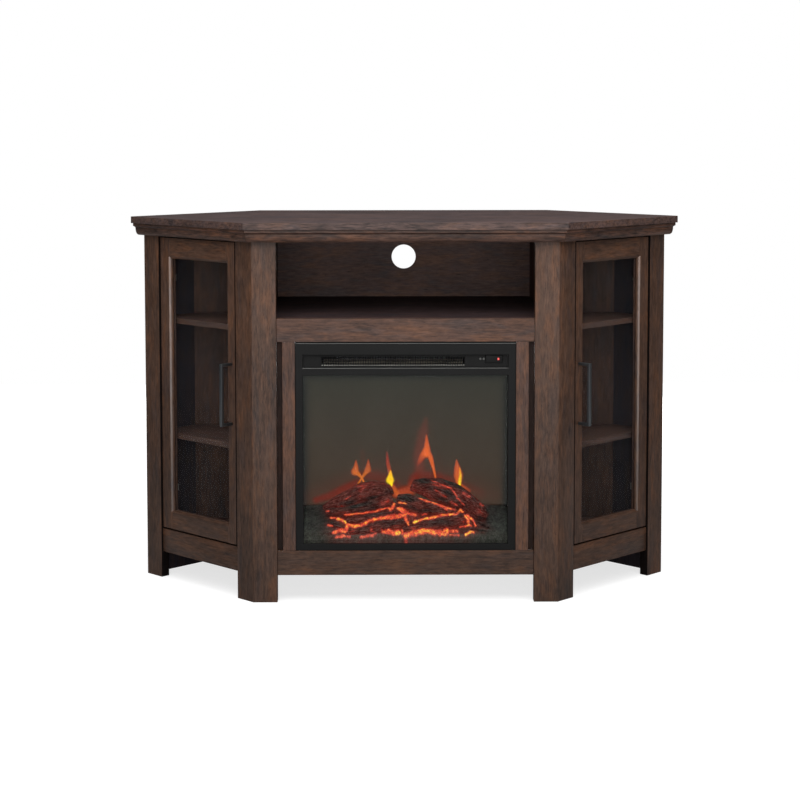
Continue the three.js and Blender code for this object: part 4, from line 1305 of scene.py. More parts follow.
@dataclass
class FireInsert:
    """Front frame, glass, control strip, grille and sheet housing of the fireplace."""

    rear: float = shift_y(204.6 * MM)
    control_height: float = 521.2 * MM
    rocker_x: float = 187.6 * MM
    rocker_half: float = 17.6 * MM
    rocker_front: float = shift_y(10.4 * MM)
    rocker_crest: float = shift_y(9.2 * MM)
    lens_shift: float = 9.2 * MM
    lens_half: Span = (1.9 * MM, 2.2 * MM)
    lens_depth: float = 0.3 * MM
    seal_half: float = 233.6 * MM
    seal_depth: Span = (shift_y(7 * MM), shift_y(15 * MM))
    seal_height: Span = (555.6 * MM, 558.7 * MM)
    # Upward-leaning edges of the frame above this height, within this lean, get a painted highlight.
    sheen_from: float = 490 * MM
    sheen_rise: Span = (0.2, 0.95)
    screw_radius: float = 3.4 * MM
    edge_screws: Span = (118 * MM, 546 * MM)
    edge_screw_reach: float = 208 * MM
    edge_screw_count: int = 6
    side_screws: Span = (-218 * MM, 218 * MM)
    side_screw_foot: float = 200 * MM
    side_screw_pitch: float = 120 * MM
    side_screw_count: int = 3

    def controls(self) -> None:
        """Make the rocker, its pilot lens and the push buttons."""
        for node, finish, body, ease in (("power_rocker", Finishes.BLACK_PLASTIC, Body.ROCKER, 0.35 * MM),
                                         ("mode_button", Finishes.MARK, Body.MODE, 0.3 * MM),
                                         ("heat_button", Finishes.MARK, Body.HEAT, 0.3 * MM)):
            EasedNode(node, finish, "black_plastic", body, ease, True).build()
        tilt = (self.rocker_front - self.rocker_crest) / self.rocker_half
        wide, tall = self.lens_half
        corners = []
        for depth in (-self.lens_depth, self.lens_depth):
            for px, pz in ((-wide, -tall), (wide, -tall), (wide, tall), (-wide, tall)):
                reach = self.lens_shift + px
                corners.append((self.rocker_x + reach, self.rocker_front - tilt * reach + depth,
                                self.control_height + pz))
        settle("rocker_pilot_lens", eased(blocks([corners]), 0.2 * MM), Body.ROCKER, Finishes.RED_LENS)

    def seal(self) -> None:
        """Make the foam strip that closes the slit over the front frame."""
        corners = box_corners((-self.seal_half, self.seal_half), self.seal_depth, self.seal_height)
        settle("insert_top_seal", eased(blocks([corners]), 0.4 * MM), Body.CASE, Finishes.BLACK_PLASTIC)

    def fixings(self) -> None:
        """Make the screws of the housing's back and the frame's tabs."""
        pitch = Vector((2 * self.edge_screw_reach / (self.edge_screw_count - 1), 0, 0))
        rows = [(Vector((-self.edge_screw_reach, self.rear, z)), pitch, self.edge_screw_count)
                for z in self.edge_screws]
        rise = UP * self.side_screw_pitch
        rows += [(Vector((x, self.rear, self.side_screw_foot)), rise, self.side_screw_count)
                 for x in self.side_screws]
        meshes = [fixing_row(screw_head(self.screw_radius, BACK), Finishes.STEEL, *row) for row in rows]
        settle("housing_screws", joined_meshes("screws", meshes), Body.CASE, Finishes.STEEL,
               smooth=True)

    def build(self) -> None:
        """Make the insert."""
        frame_mesh = eased(node_mesh("insert_front_frame"), 0.9 * MM)
        flat, steep = self.sheen_rise
        # Upward-leaning front edges near the top get the painted highlight.
        for polygon in frame_mesh.polygons:
            leaning = flat < polygon.normal.z < steep and polygon.normal.y < -flat
            polygon.material_index = int(leaning and polygon.center.z > self.sheen_from)
        settle("insert_front_frame_eased", frame_mesh, Body.CASE, Finishes.BLACK_METAL,
               ("insert_front_frame",), more=(Finishes.BLACK_ARRIS,))
        EasedNode("insert_housing", Finishes.DUCT_METAL, "black_metal", width=0.25 * MM).build()
        EasedNode("insert_glass", Finishes.FIRE_GLASS, "smoked_glass", width=0.3 * MM).build()
        EasedNode("control_fascia", Finishes.BLACK_PLASTIC, "black_plastic", width=0.25 * MM).build()
        EasedNode("heater_grille", Finishes.BLACK_METAL, "black_metal", width=0.25 * MM, segments=1).build()
        EasedNode("power_inlet", Finishes.BLACK_PLASTIC, "black_plastic", width=0.5 * MM, smooth=True).build()
        self.controls()
        self.seal()
        self.fixings()


@dataclass
class WarmAir:
    """Heating element with its folded ribbon, blower wheel and blower motor."""

    left: float = -178 * MM
    right: float = 125 * MM
    front: float = shift_y(33.6 * MM)
    low: float = 494.8 * MM
    folds: int = 121
    ribbon_height: float = 9 * MM
    ribbon_depth: float = 7 * MM
    ribbon_inset: float = 5 * MM
    ribbon_rise: Span = (6 * MM, 16.4 * MM)
    ribbon_thickness: float = 0.5 * MM
    grille_rear: float = shift_y(15 * MM)
    lip: float = 1.7 * MM
    lip_press: float = 0.1 * MM
    lip_height: float = 506.4 * MM

    def build(self) -> None:
        """Make the heating and blowing pieces."""
        EasedNode("heating_element", Finishes.MICA, "heater_ribbon", width=0.2 * MM, segments=1).build()
        rows = []
        for rise in self.ribbon_rise:
            ends = [(x, self.front - self.ribbon_inset, self.low + rise) for x in (self.left, self.right)]
            values = {"Start": ends[0], "End": ends[1], "Folds": self.folds, "Depth": self.ribbon_depth,
                      "Height": self.ribbon_height, "Thickness": self.ribbon_thickness,
                      "Material": Finishes.get(Finishes.RIBBON)}
            rows.append(Recipes.ribbon().run(bpy.data.meshes.new("none"), values))
        settle("heater_folded_ribbon", joined_meshes("ribbon", rows), Body.CASE, Finishes.RIBBON)
        depths = (self.grille_rear - self.lip_press, self.grille_rear + self.lip)
        lip = box_corners((self.left, self.right), depths, (self.lip_height, self.lip_height + self.lip))
        settle("grille_lip", eased(blocks([lip]), 0.3 * MM), Body.CASE, Finishes.LIP)
        EasedNode("blower_wheel", Finishes.ALUMINIUM, "plated_steel", Body.BLOWER, 0.15 * MM, True, 1).build()
        EasedNode("blower_motor", Finishes.ZINC, "plated_steel", width=0.8 * MM, smooth=True).build()


@dataclass
class FlameDrive:
    """Turning spindle that throws the flame light, its motor and the lamps."""

    def build(self) -> None:
        """Make the flame drive."""
        EasedNode("flame_spindle", Finishes.ALUMINIUM, "bright_aluminium", Body.SPINDLE, 0.12 * MM, True,
                  1).build()
        EasedNode("spindle_motor", Finishes.ZINC, "plated_steel", width=0.8 * MM, smooth=True).build()
        EasedNode("lamp_board", Finishes.BOARD, "lamp_board", width=0.2 * MM).build()


def fade(distance: Array, reach: float) -> Array:
    """Give a soft falloff from 1 at no distance to nothing past about twice the reach."""
    return np.exp(-(distance / reach) ** 2)


def smooth_step(value: Array, low: float, high: float) -> Array:
    """Give a smooth ramp from 0 at low to 1 at high."""
    share = np.clip((value - low) / (high - low), 0, 1)
    return share * share * (3 - 2 * share)


def value_noise(x: Array, y: Array, seed: int) -> Array:
    """Give smooth noise between 0 and 1 on two coordinate arrays.

    Args:
        x: First coordinate in noise cells.
        y: Second coordinate in noise cells.
        seed: Number that picks the pattern.

    Returns:
        The noise values.
    """
    cells = 64
    table = np.random.default_rng(seed).random((cells, cells))
    ix, iy = np.floor(x).astype(int), np.floor(y).astype(int)
    fx, fy = x - ix, y - iy
    fx, fy = fx * fx * (3 - 2 * fx), fy * fy * (3 - 2 * fy)
    left, right, low, high = ix % cells, (ix + 1) % cells, iy % cells, (iy + 1) % cells
    below = table[left, low] * (1 - fx) + table[right, low] * fx
    above = table[left, high] * (1 - fx) + table[right, high] * fx
    return below * (1 - fy) + above * fy


@dataclass(frozen=True)
class Mottle:
    """Layers of finer and finer smooth noise, with a cell size on each coordinate."""

    across: float
    along: float
    seed: int
    layers: int = 4
    finer_share: ClassVar[float] = 0.55
    shifts: ClassVar[Span] = (7.3, -3.1)

    def at(self, x: Array, y: Array) -> Array:
        """Add up the layers.

        Args:
            x: First coordinate of each point.
            y: Second coordinate of each point.

        Returns:
            Values between 0 and 1.
        """
        x, y = x / self.across, y / self.along
        total, weight, share = np.zeros_like(x), 0.0, 1.0
        for k in range(self.layers):
            place = (x * 2 ** k + self.shifts[0] * k, y * 2 ** k + self.shifts[1] * k)
            total += value_noise(*place, self.seed + k) * share
            weight += share
            share *= self.finer_share
        return total / weight


def segment_reach(x: Array, z: Array, first: Sequence[float], last: Sequence[float]) -> tuple[Array, Array]:
    """Measure how far points lie from a straight stretch.

    Args:
        x: X of each point.
        z: Height of each point.
        first: X and height of the stretch's start.
        last: X and height of its end.

    Returns:
        Share of the way along the stretch, and distance from it.
    """
    dx, dz = last[0] - first[0], last[1] - first[1]
    share = np.clip(((x - first[0]) * dx + (z - first[1]) * dz) / (dx * dx + dz * dz), 0, 1)
    return share, np.hypot(x - first[0] - share * dx, z - first[1] - share * dz)


@dataclass(frozen=True)
class Flame:
    """One painted flame: its light and a spine of X, height and half-width in millimetres."""

    foot: Colour
    tip: Colour
    strength: float
    soft: float
    spine: tuple[Point, ...]

    def light(self, x: Array, z: Array) -> Array:
        """Give the flame's light on the screen.

        Args:
            x: X in millimetres.
            z: Height in millimetres.

        Returns:
            One colour a point.
        """
        best = np.zeros_like(x)
        for first, last in zip(self.spine, self.spine[1:]):
            share, reach = segment_reach(x, z, first, last)
            width = first[2] + (last[2] - first[2]) * share
            best = np.maximum(best, smooth_step(-reach / width, -1.2 - self.soft, -0.5 + self.soft / 4))
        low, high = self.spine[0][1], self.spine[-1][1]
        height = np.clip((z - low) / (high - low), 0, 1)[:, None]
        colour = np.array(self.foot) * (1 - height) + np.array(self.tip) * height
        return colour * best[:, None] * self.strength


@dataclass
class FlameScreen:
    """Back screen of the fire with the flames thrown on it, in millimetres but for its front and rear."""

    half: float = 224.2
    low: float = 178.0
    high: float = 492.7
    front: float = shift_y(140.6 * MM)
    rear: float = shift_y(143.6 * MM)
    step: float = 1.2
    film_tint: float = 0.015
    brown: Colour = srgb(70, 58, 49)
    grey: Colour = srgb(61, 60, 54)
    rim: Colour = srgb(42, 44, 43)
    back: Colour = srgb(60, 56, 50)
    brown_height: float = 230.0
    rim_width: float = 7.0
    rim_height: float = 464.0
    rim_blend: Span = (-8.0, 14.0)
    foot_blend: Span = (176.0, 186.0)
    clouds: Mottle = Mottle(60, 90, 5)
    waver: Mottle = Mottle(18, 26, 9)

    def flames(self) -> list[Flame]:
        """List the flames.

        Returns:
            The flames, written as foot and tip colour, strength, softness and spine.
        """
        orange, amber, yellow = srgb(226, 104, 44), srgb(236, 128, 46), srgb(255, 220, 24)
        rust, red, dull = srgb(186, 84, 50), srgb(132, 42, 24), srgb(112, 46, 30)
        rows = [
            (amber, rust, 0.85, 0.35, (-91, 232, 1.8), (-95, 241, 2.0), (-103, 250, 4.5), (-110, 255, 8.0),
             (-108, 265, 5.0), (-108, 280, 0.8)),
            (amber, rust, 0.75, 0.35, (-103, 228, 1.8), (-95, 241, 2.0), (-88, 251, 4.0), (-82, 259, 7.0),
             (-81, 268, 4.5), (-81, 282, 0.8)),
            (dull, red, 0.35, 0.9, (-92, 246, 5.0), (-92, 275, 6.0), (-94, 300, 4.0)),
            (yellow, srgb(255, 176, 30), 1.1, 0.0, (-29, 223, 1.0), (-33, 236, 9.5), (-32, 257, 1.4)),
            (rust, orange, 0.75, 0.4, (-29, 225, 5.0), (-22, 214, 5.0), (-17, 206, 6.0)),
            (rust, red, 0.9, 0.5, (-33, 252, 4.0), (-38, 274, 3.6), (-40, 298, 1.6)),
            (dull, orange, 0.9, 0.3, (27, 266, 2.5), (31, 275, 5.0), (38, 288, 7.0), (46, 302, 7.0)),
            (orange, rust, 1.0, 0.2, (46, 294, 8.5), (48, 304, 7.5), (47, 336, 1.2)),
            (orange, orange, 0.9, 0.2, (67, 242, 2.0), (62, 264, 3.2), (56, 286, 5.5), (50, 300, 5.0)),
            (red, dull, 0.6, 1.1, (34, 240, 10.0), (30, 290, 12.0), (40, 340, 12.0), (46, 372, 4.0)),
            (orange, rust, 0.9, 0.3, (119, 224, 3.0), (118, 234, 7.0), (117, 247, 9.5), (115, 262, 6.5),
             (113, 281, 1.0)),
            (yellow, amber, 1.0, 0.3, (120, 224, 2.4), (120, 233, 3.6), (122, 246, 3.0), (120, 262, 1.6)),
            (orange, rust, 0.55, 0.5, (121, 226, 3.0), (141, 212, 4.0)),
        ]
        return [Flame(*row[:4], row[4:]) for row in rows]

    def glow_banks(self) -> list[Flame]:
        """List the soft red light that lies along the logs' upper edges.

        Returns:
            The banks of light, written as the flames are.
        """
        red, dull = srgb(108, 24, 16), srgb(50, 16, 11)
        rows = [
            (red, red, 0.9, 1.1, (-196, 192, 5.0), (-168, 200, 6.0), (-135, 216, 7.0), (-104, 229, 7.0)),
            (dull, dull, 0.7, 1.2, (-205, 198, 14.0), (-150, 220, 18.0), (-100, 244, 14.0)),
            (red, red, 0.55, 1.2, (-96, 248, 6.0), (-60, 243, 9.0), (-40, 236, 8.0), (-18, 220, 9.0)),
            (dull, dull, 0.5, 1.2, (-60, 256, 20.0), (10, 232, 26.0), (60, 256, 22.0)),
            (srgb(190, 70, 34), red, 0.9, 0.8, (-20, 206, 7.0), (-4, 210, 9.0), (14, 216, 9.0),
             (20, 238, 9.0)),
            (red, dull, 0.8, 1.1, (28, 248, 7.0), (70, 244, 7.0), (120, 224, 8.0), (165, 202, 9.0)),
            (dull, dull, 0.5, 1.2, (100, 240, 18.0), (150, 216, 20.0), (190, 200, 14.0)),
        ]
        return [Flame(*row[:4], row[4:]) for row in rows]

    def colours(self, x: Array, z: Array) -> Array:
        """Give the light of each point of the screen.

        Args:
            x: X in millimetres.
            z: Height in millimetres.

        Returns:
            One colour a point.
        """
        rise = np.clip((z - self.brown_height) / self.brown_height, 0, 1)[:, None]
        light = np.array(self.brown) * (1 - rise) + np.array(self.grey) * rise
        light = light * (0.92 + 0.16 * self.clouds.at(x, z))[:, None]
        edge = np.minimum(self.half - self.rim_width - np.abs(x), self.rim_height - z)
        border = smooth_step(edge, *self.rim_blend)[:, None]
        light = light * border + np.array(self.rim) * (1 - border)
        light *= smooth_step(z, *self.foot_blend)[:, None]
        waver = 0.75 + 0.5 * self.waver.at(x, z)[:, None]
        for bank in self.glow_banks():
            given = bank.light(x, z) * waver
            light = light * (1 - 0.55 * np.clip(given[:, :1] / 0.12, 0, 1)) + given
        for flame in self.flames():
            given = flame.light(x, z)
            light = np.maximum(light, given) + given * 0.12
        return light

    def build(self) -> None:
        """Make the screen."""
        columns = int(2 * self.half / self.step) + 1
        rows = int((self.high - self.low) / self.step) + 1
        xs, zs = np.linspace(-self.half, self.half, columns), np.linspace(self.low, self.high, rows)
        grid_x, grid_z = np.meshgrid(xs, zs)
        points = np.stack([grid_x * MM, np.full_like(grid_x, self.front), grid_z * MM], axis=-1)
        mesh = backed("screen", grid_mesh(points), lambda at: Vector((at.x, self.rear, at.z)))
        places = vertex_places(mesh)
        light = self.colours(places[:, 0] / MM, places[:, 2] / MM)
        light[places[:, 1] > (self.front + self.rear) / 2] = self.back
        paint(mesh, "glow", light)
        paint(mesh, "tint", np.full(places.shape, self.film_tint))
        settle("flame_screen_film", mesh, Body.CASE, Finishes.SCREEN, ("flame_screen",))


@dataclass(frozen=True)
class EmberLine:
    """One glowing crack or ridge: its half-width, its heat and its points as X and seen height."""

    radius: float
    heat: float
    points: tuple[Span, ...]


@dataclass
class Embers:
    """Glowing lines that run over the bed and the logs, in millimetres, seen a little from above."""

    lean: float = 0.219
    stops: tuple[float, ...] = (0.0, 0.25, 0.5, 0.8, 1.0, 1.4)
    wander: float = 5.0
    wander_across: Mottle = Mottle(11, 8, 71, 3)
    wander_up: Mottle = Mottle(9, 7, 83, 3)
    raggedness: Mottle = Mottle(3.5, 3.5, 91, 2)
    clumps: Mottle = Mottle(6, 4, 97, 3)
    cracks: Mottle = Mottle(5, 5, 103, 2)

    def lines(self) -> list[EmberLine]:
        """List the glowing lines by half-width, heat and points, roughly left to right."""
        rows = [
            (2.0, 0.8, (-131, 189), (-91, 193), (-61, 198), (-44, 203), (-30, 203)),
            (3.4, 0.85, (-33, 200), (-28, 205), (-24, 214)),
            (3.6, 0.9, (-123, 166), (-99, 165), (-79, 175), (-44, 184)),
            (4.4, 0.9, (-38, 185), (-20, 186), (-4, 189), (4, 194)),
            (3.0, 0.8, (-16, 203), (-3, 193)),
            (2.2, 0.8, (1, 184), (6, 168)),
            (3.4, 0.9, (-146, 180), (-136, 176), (-131, 173)),
            (2.4, 1.5, (-131, 175), (-128, 171)),
            (1.6, 0.8, (-161, 184), (-150, 183)),
            (1.6, 0.6, (-168, 167), (-159, 164)),
            (3.2, 1.1, (-126, 166), (-127, 157)),
            (4.6, 0.9, (-153, 151), (-142, 155), (-130, 155)),
            (3.2, 0.95, (-147, 142), (-133, 143), (-121, 141)),
            (3.2, 0.7, (-96, 141), (-82, 143), (-64, 147)),
            (4.5, 0.85, (-49, 153), (-32, 153), (-25, 149)),
            (5.5, 1.5, (-19, 150), (-16, 150)),
            (2.4, 0.75, (-8, 155), (-7, 147)),
            (1.6, 0.5, (-130, 223), (-119, 230)),
            (2.0, 0.3, (-104, 252), (-84, 253)),
            (4.0, 0.4, (-50, 214), (-38, 219)),
            (2.0, 0.7, (-172, 198), (-167, 198)),
            (2.2, 0.8, (21, 232), (42, 221), (66, 214), (87, 205), (106, 200)),
            (1.6, 0.6, (69, 212), (90, 199)),
            (2.0, 0.9, (-13, 216), (1, 214)),
            (3.2, 0.85, (-13, 203), (-2, 198), (8, 192), (21, 189)),
            (2.0, 0.5, (35, 190), (47, 189)),
            (2.8, 0.85, (-3, 189), (2, 178), (6, 168)),
            (2.8, 0.95, (18, 173), (39, 179), (74, 187), (96, 190), (111, 191), (119, 199), (124, 196)),
            (3.2, 1.3, (19, 173), (25, 175)),
            (2.6, 1.05, (128, 188), (136, 177), (136, 166)),
            (2.4, 0.9, (131, 188), (145, 177), (151, 165)),
            (2.4, 0.9, (119, 163), (140, 165)),
            (6.0, 0.95, (0, 144), (26, 151), (42, 155), (65, 151), (88, 152)),
            (4.5, 1.1, (71, 148), (83, 147)),
            (4.0, 0.85, (98, 152), (111, 152)),
            (2.0, 0.8, (95, 145), (115, 144)),
            (2.6, 1.25, (128, 144), (140, 151), (146, 151)),
            (1.3, 0.6, (58, 264), (75, 256), (97, 247), (103, 240), (113, 225), (127, 210)),
            (3.0, 0.4, (125, 237), (137, 229)),
            (2.0, 0.4, (97, 217), (111, 210)),
            (1.2, 0.35, (63, 244), (88, 228)),
            (2.0, 0.6, (161, 212), (168, 209)),
        ]
        return [EmberLine(*row[:2], row[2:]) for row in rows]

    def heat(self, places: Array) -> Array:
        """Give how hot each place is.

        Args:
            places: X, depth and height of each place.

        Returns:
            Heat from 0 to about 1.5.
        """
        x, seen = places[:, 0], places[:, 2] + self.lean * places[:, 1]
        x = x + self.wander * (self.wander_across.at(x, seen) - 0.5)
        seen = seen + self.wander * (self.wander_up.at(x, seen) - 0.5)
        ragged = 0.65 + 0.8 * self.raggedness.at(x, seen)
        hottest = np.zeros_like(x)
        for line in self.lines():
            for first, last in zip(line.points, line.points[1:]):
                reach = segment_reach(x, seen, first, last)[1] / line.radius
                level = line.heat * smooth_step(-reach * ragged, -1.7, -0.2) + 0.2 * fade(reach, 3.8)
                hottest = np.maximum(hottest, level)
        clumps = smooth_step(self.clumps.at(x, seen), 0.25, 0.72)
        cracks = smooth_step(np.abs(self.cracks.at(x, seen) - 0.5), 0.0, 0.045)
        return hottest * (0.62 + 0.5 * clumps) * (0.6 + 0.4 * cracks)

    def colour(self, heat: Array) -> Array:
        """Turn heat into light, from dark red over orange to yellow."""
        steps = (srgb(0, 0, 0), srgb(84, 26, 22), srgb(150, 46, 36), srgb(236, 80, 56), srgb(255, 112, 66),
                 srgb(255, 220, 66))
        return np.stack([np.interp(heat, self.stops, [step[k] for step in steps]) for k in range(3)], axis=-1)


@dataclass
class EmberBed:
    """Moulded ash bed with glowing embers, in millimetres behind the posts."""

    embers: Embers
    half: float = 224.2
    front: float = 20.9
    rear: float = 140.3
    front_height: float = 130.6
    rear_height: float = 175.0
    row_density: float = 1.15
    mound: float = 24.0
    mound_half: float = 165.0
    mound_depth: float = 92.0
    mound_reach: float = 27.0
    swell: float = 6.0
    lump: float = 5.5
    lumpy_half: float = 175.0
    burnt_half: float = 168.0
    burnt_share: float = 0.85
    patch_heat: float = 0.34
    far_ash: Colour = srgb(106, 109, 104)
    near_ash: Colour = srgb(104, 104, 96)
    char: Colour = srgb(84, 52, 46)
    floor: float = 112.6
    wall: float = 3.0
    step: float = 1.3
    seed: int = 31
    swells: Mottle = Mottle(34, 26, 40)
    lumps: Mottle = Mottle(10, 8, 48, 3)
    ash_grain: Mottle = Mottle(4, 4, 71, 3)
    ash_drift: Mottle = Mottle(30, 18, 81, 3)
    patches: Mottle = Mottle(13, 10, 101, 3)
    crumb_density: float = 26000.0
    crumb_sizes: Span = (0.5 * MM, 1.7 * MM)

    def height_at(self, depth: Array) -> Array:
        """Height of the plain bed at a depth."""
        return self.front_height + (self.rear_height - self.front_height) * (depth - self.front) / (
            self.rear - self.front)

    def underside(self, at: Vector) -> Vector:
        """Give where the bed's wall ends.

        Args:
            at: Point of the bed's rim.

        Returns:
            The point below it.
        """
        depth = (at.y - shift_y(0)) / MM
        foot = self.height_at(depth) - self.wall if depth > self.front + 0.1 else self.floor
        return Vector((at.x, at.y, foot * MM))

    def relief(self, x: Array, depth: Array) -> Array:
        """Give the height of lumps above the plain bed.

        Args:
            x: X of each place in millimetres.
            depth: Depth of each place in millimetres.

        Returns:
            The heights in millimetres.
        """
        coarse = self.swells.at(x, depth)
        lumps = 1 - np.abs(self.lumps.at(x, depth) * 2 - 1)
        edge = smooth_step(depth, self.front, self.front + 9) * smooth_step(self.half - np.abs(x), 0, 8)
        across = np.exp(-(np.abs(x) / self.mound_half) ** 6)
        mound = self.mound * across * fade(depth - self.mound_depth, self.mound_reach)
        lumpy = 0.35 + 0.65 * np.exp(-(np.abs(x) / self.lumpy_half) ** 8)
        return (self.swell * coarse + self.lump * lumps * lumpy) * edge + mound

    def colours(self, places: Array) -> tuple[Array, Array]:
        """Give the ash tint and the ember glow.

        Args:
            places: X, depth and height of each place in millimetres.

        Returns:
            Tint and glow, one colour a point each.
        """
        x, depth = places[:, 0], places[:, 1]
        grain = self.ash_grain.at(x, depth)[:, None]
        drift = self.ash_drift.at(x, depth)[:, None]
        near = smooth_step(-depth, -62, -24)[:, None]
        ash = np.array(self.far_ash) * (1 - near) + np.array(self.near_ash) * near
        ash = ash * (0.5 + grain) * (0.65 + 0.7 * drift)
        char = np.array(self.char) * (0.5 + grain)
        burnt = np.exp(-(np.abs(x) / self.burnt_half) ** 8) * smooth_step(depth, 27, 34)
        burnt = burnt[:, None] * self.burnt_share
        heat = self.embers.heat(places)
        patch = smooth_step(self.patches.at(x, depth), 0.42, 0.72) * burnt[:, 0]
        heat = np.maximum(heat, self.patch_heat * patch)
        return ash * (1 - burnt) + char * burnt, self.embers.colour(heat)

    def build(self) -> None:
        """Make the bed and the crumbs that lie on it."""
        columns = int(2 * self.half / self.step) + 1
        rows = int((self.rear - self.front) * self.row_density / self.step) + 1
        xs, depths = np.linspace(-self.half, self.half, columns), np.linspace(self.front, self.rear, rows)
        grid_x, grid_y = np.meshgrid(xs, depths)
        flat_x, flat_y = grid_x.ravel(), grid_y.ravel()
        heights = self.height_at(flat_y) + self.relief(flat_x, flat_y)
        tint, glow = self.colours(np.stack([flat_x, flat_y, heights], axis=-1))
        points = np.stack([flat_x * MM, shift_y(flat_y * MM), heights * MM], axis=-1)
        top = grid_mesh(points.reshape(rows, columns, 3))
        paint(top, "tint", tint)
        paint(top, "glow", glow)
        mesh = backed("bed", top, self.underside)
        settle("ash_bed_relief", mesh, Body.CASE, Finishes.ASH, ("ember_bed",), smooth=True)
        self.crumbs(top)

    def crumbs(self, top: Mesh) -> None:
        """Scatter small crumbs of ash and ember over the bed.

        Args:
            top: The bed's painted upper surface, which is used up.
        """
        chip = bmesh.new()
        bmesh.ops.create_icosphere(chip, subdivisions=1, radius=1.0)
        for vert in chip.verts:
            vert.co *= 0.75 + 0.5 * noise.noise(vert.co * 2.1)
            vert.co.z *= 0.6
        sample = bpy.data.objects.new("chip", filled("chip", chip))
        values = {"Chip": sample, "Density": self.crumb_density, "Smallest": self.crumb_sizes[0],
                  "Largest": self.crumb_sizes[1], "Seed": self.seed, "Material": Finishes.get(Finishes.ASH)}
        scattered = Recipes.crumbs().run(top, values)
        bpy.data.objects.remove(sample)
        settle("ash_crumbs", scattered, Body.CASE, Finishes.ASH)


def stretched(place: Vector, scale: Point) -> Vector:
    """Scale a place by a factor on each axis."""
    return Vector([part * factor for part, factor in zip(place, scale)])


def smoothed(values: Array, rounds: int) -> Array:
    """Smooth rows of values while both ends stay put.

    Args:
        values: The rows.
        rounds: How often each row is averaged with its neighbours.

    Returns:
        The smoothed rows.
    """
    for _ in range(rounds):
        values = np.concatenate([values[:1], (values[:-2] + 2 * values[1:-1] + values[2:]) / 4, values[-1:]])
    return values


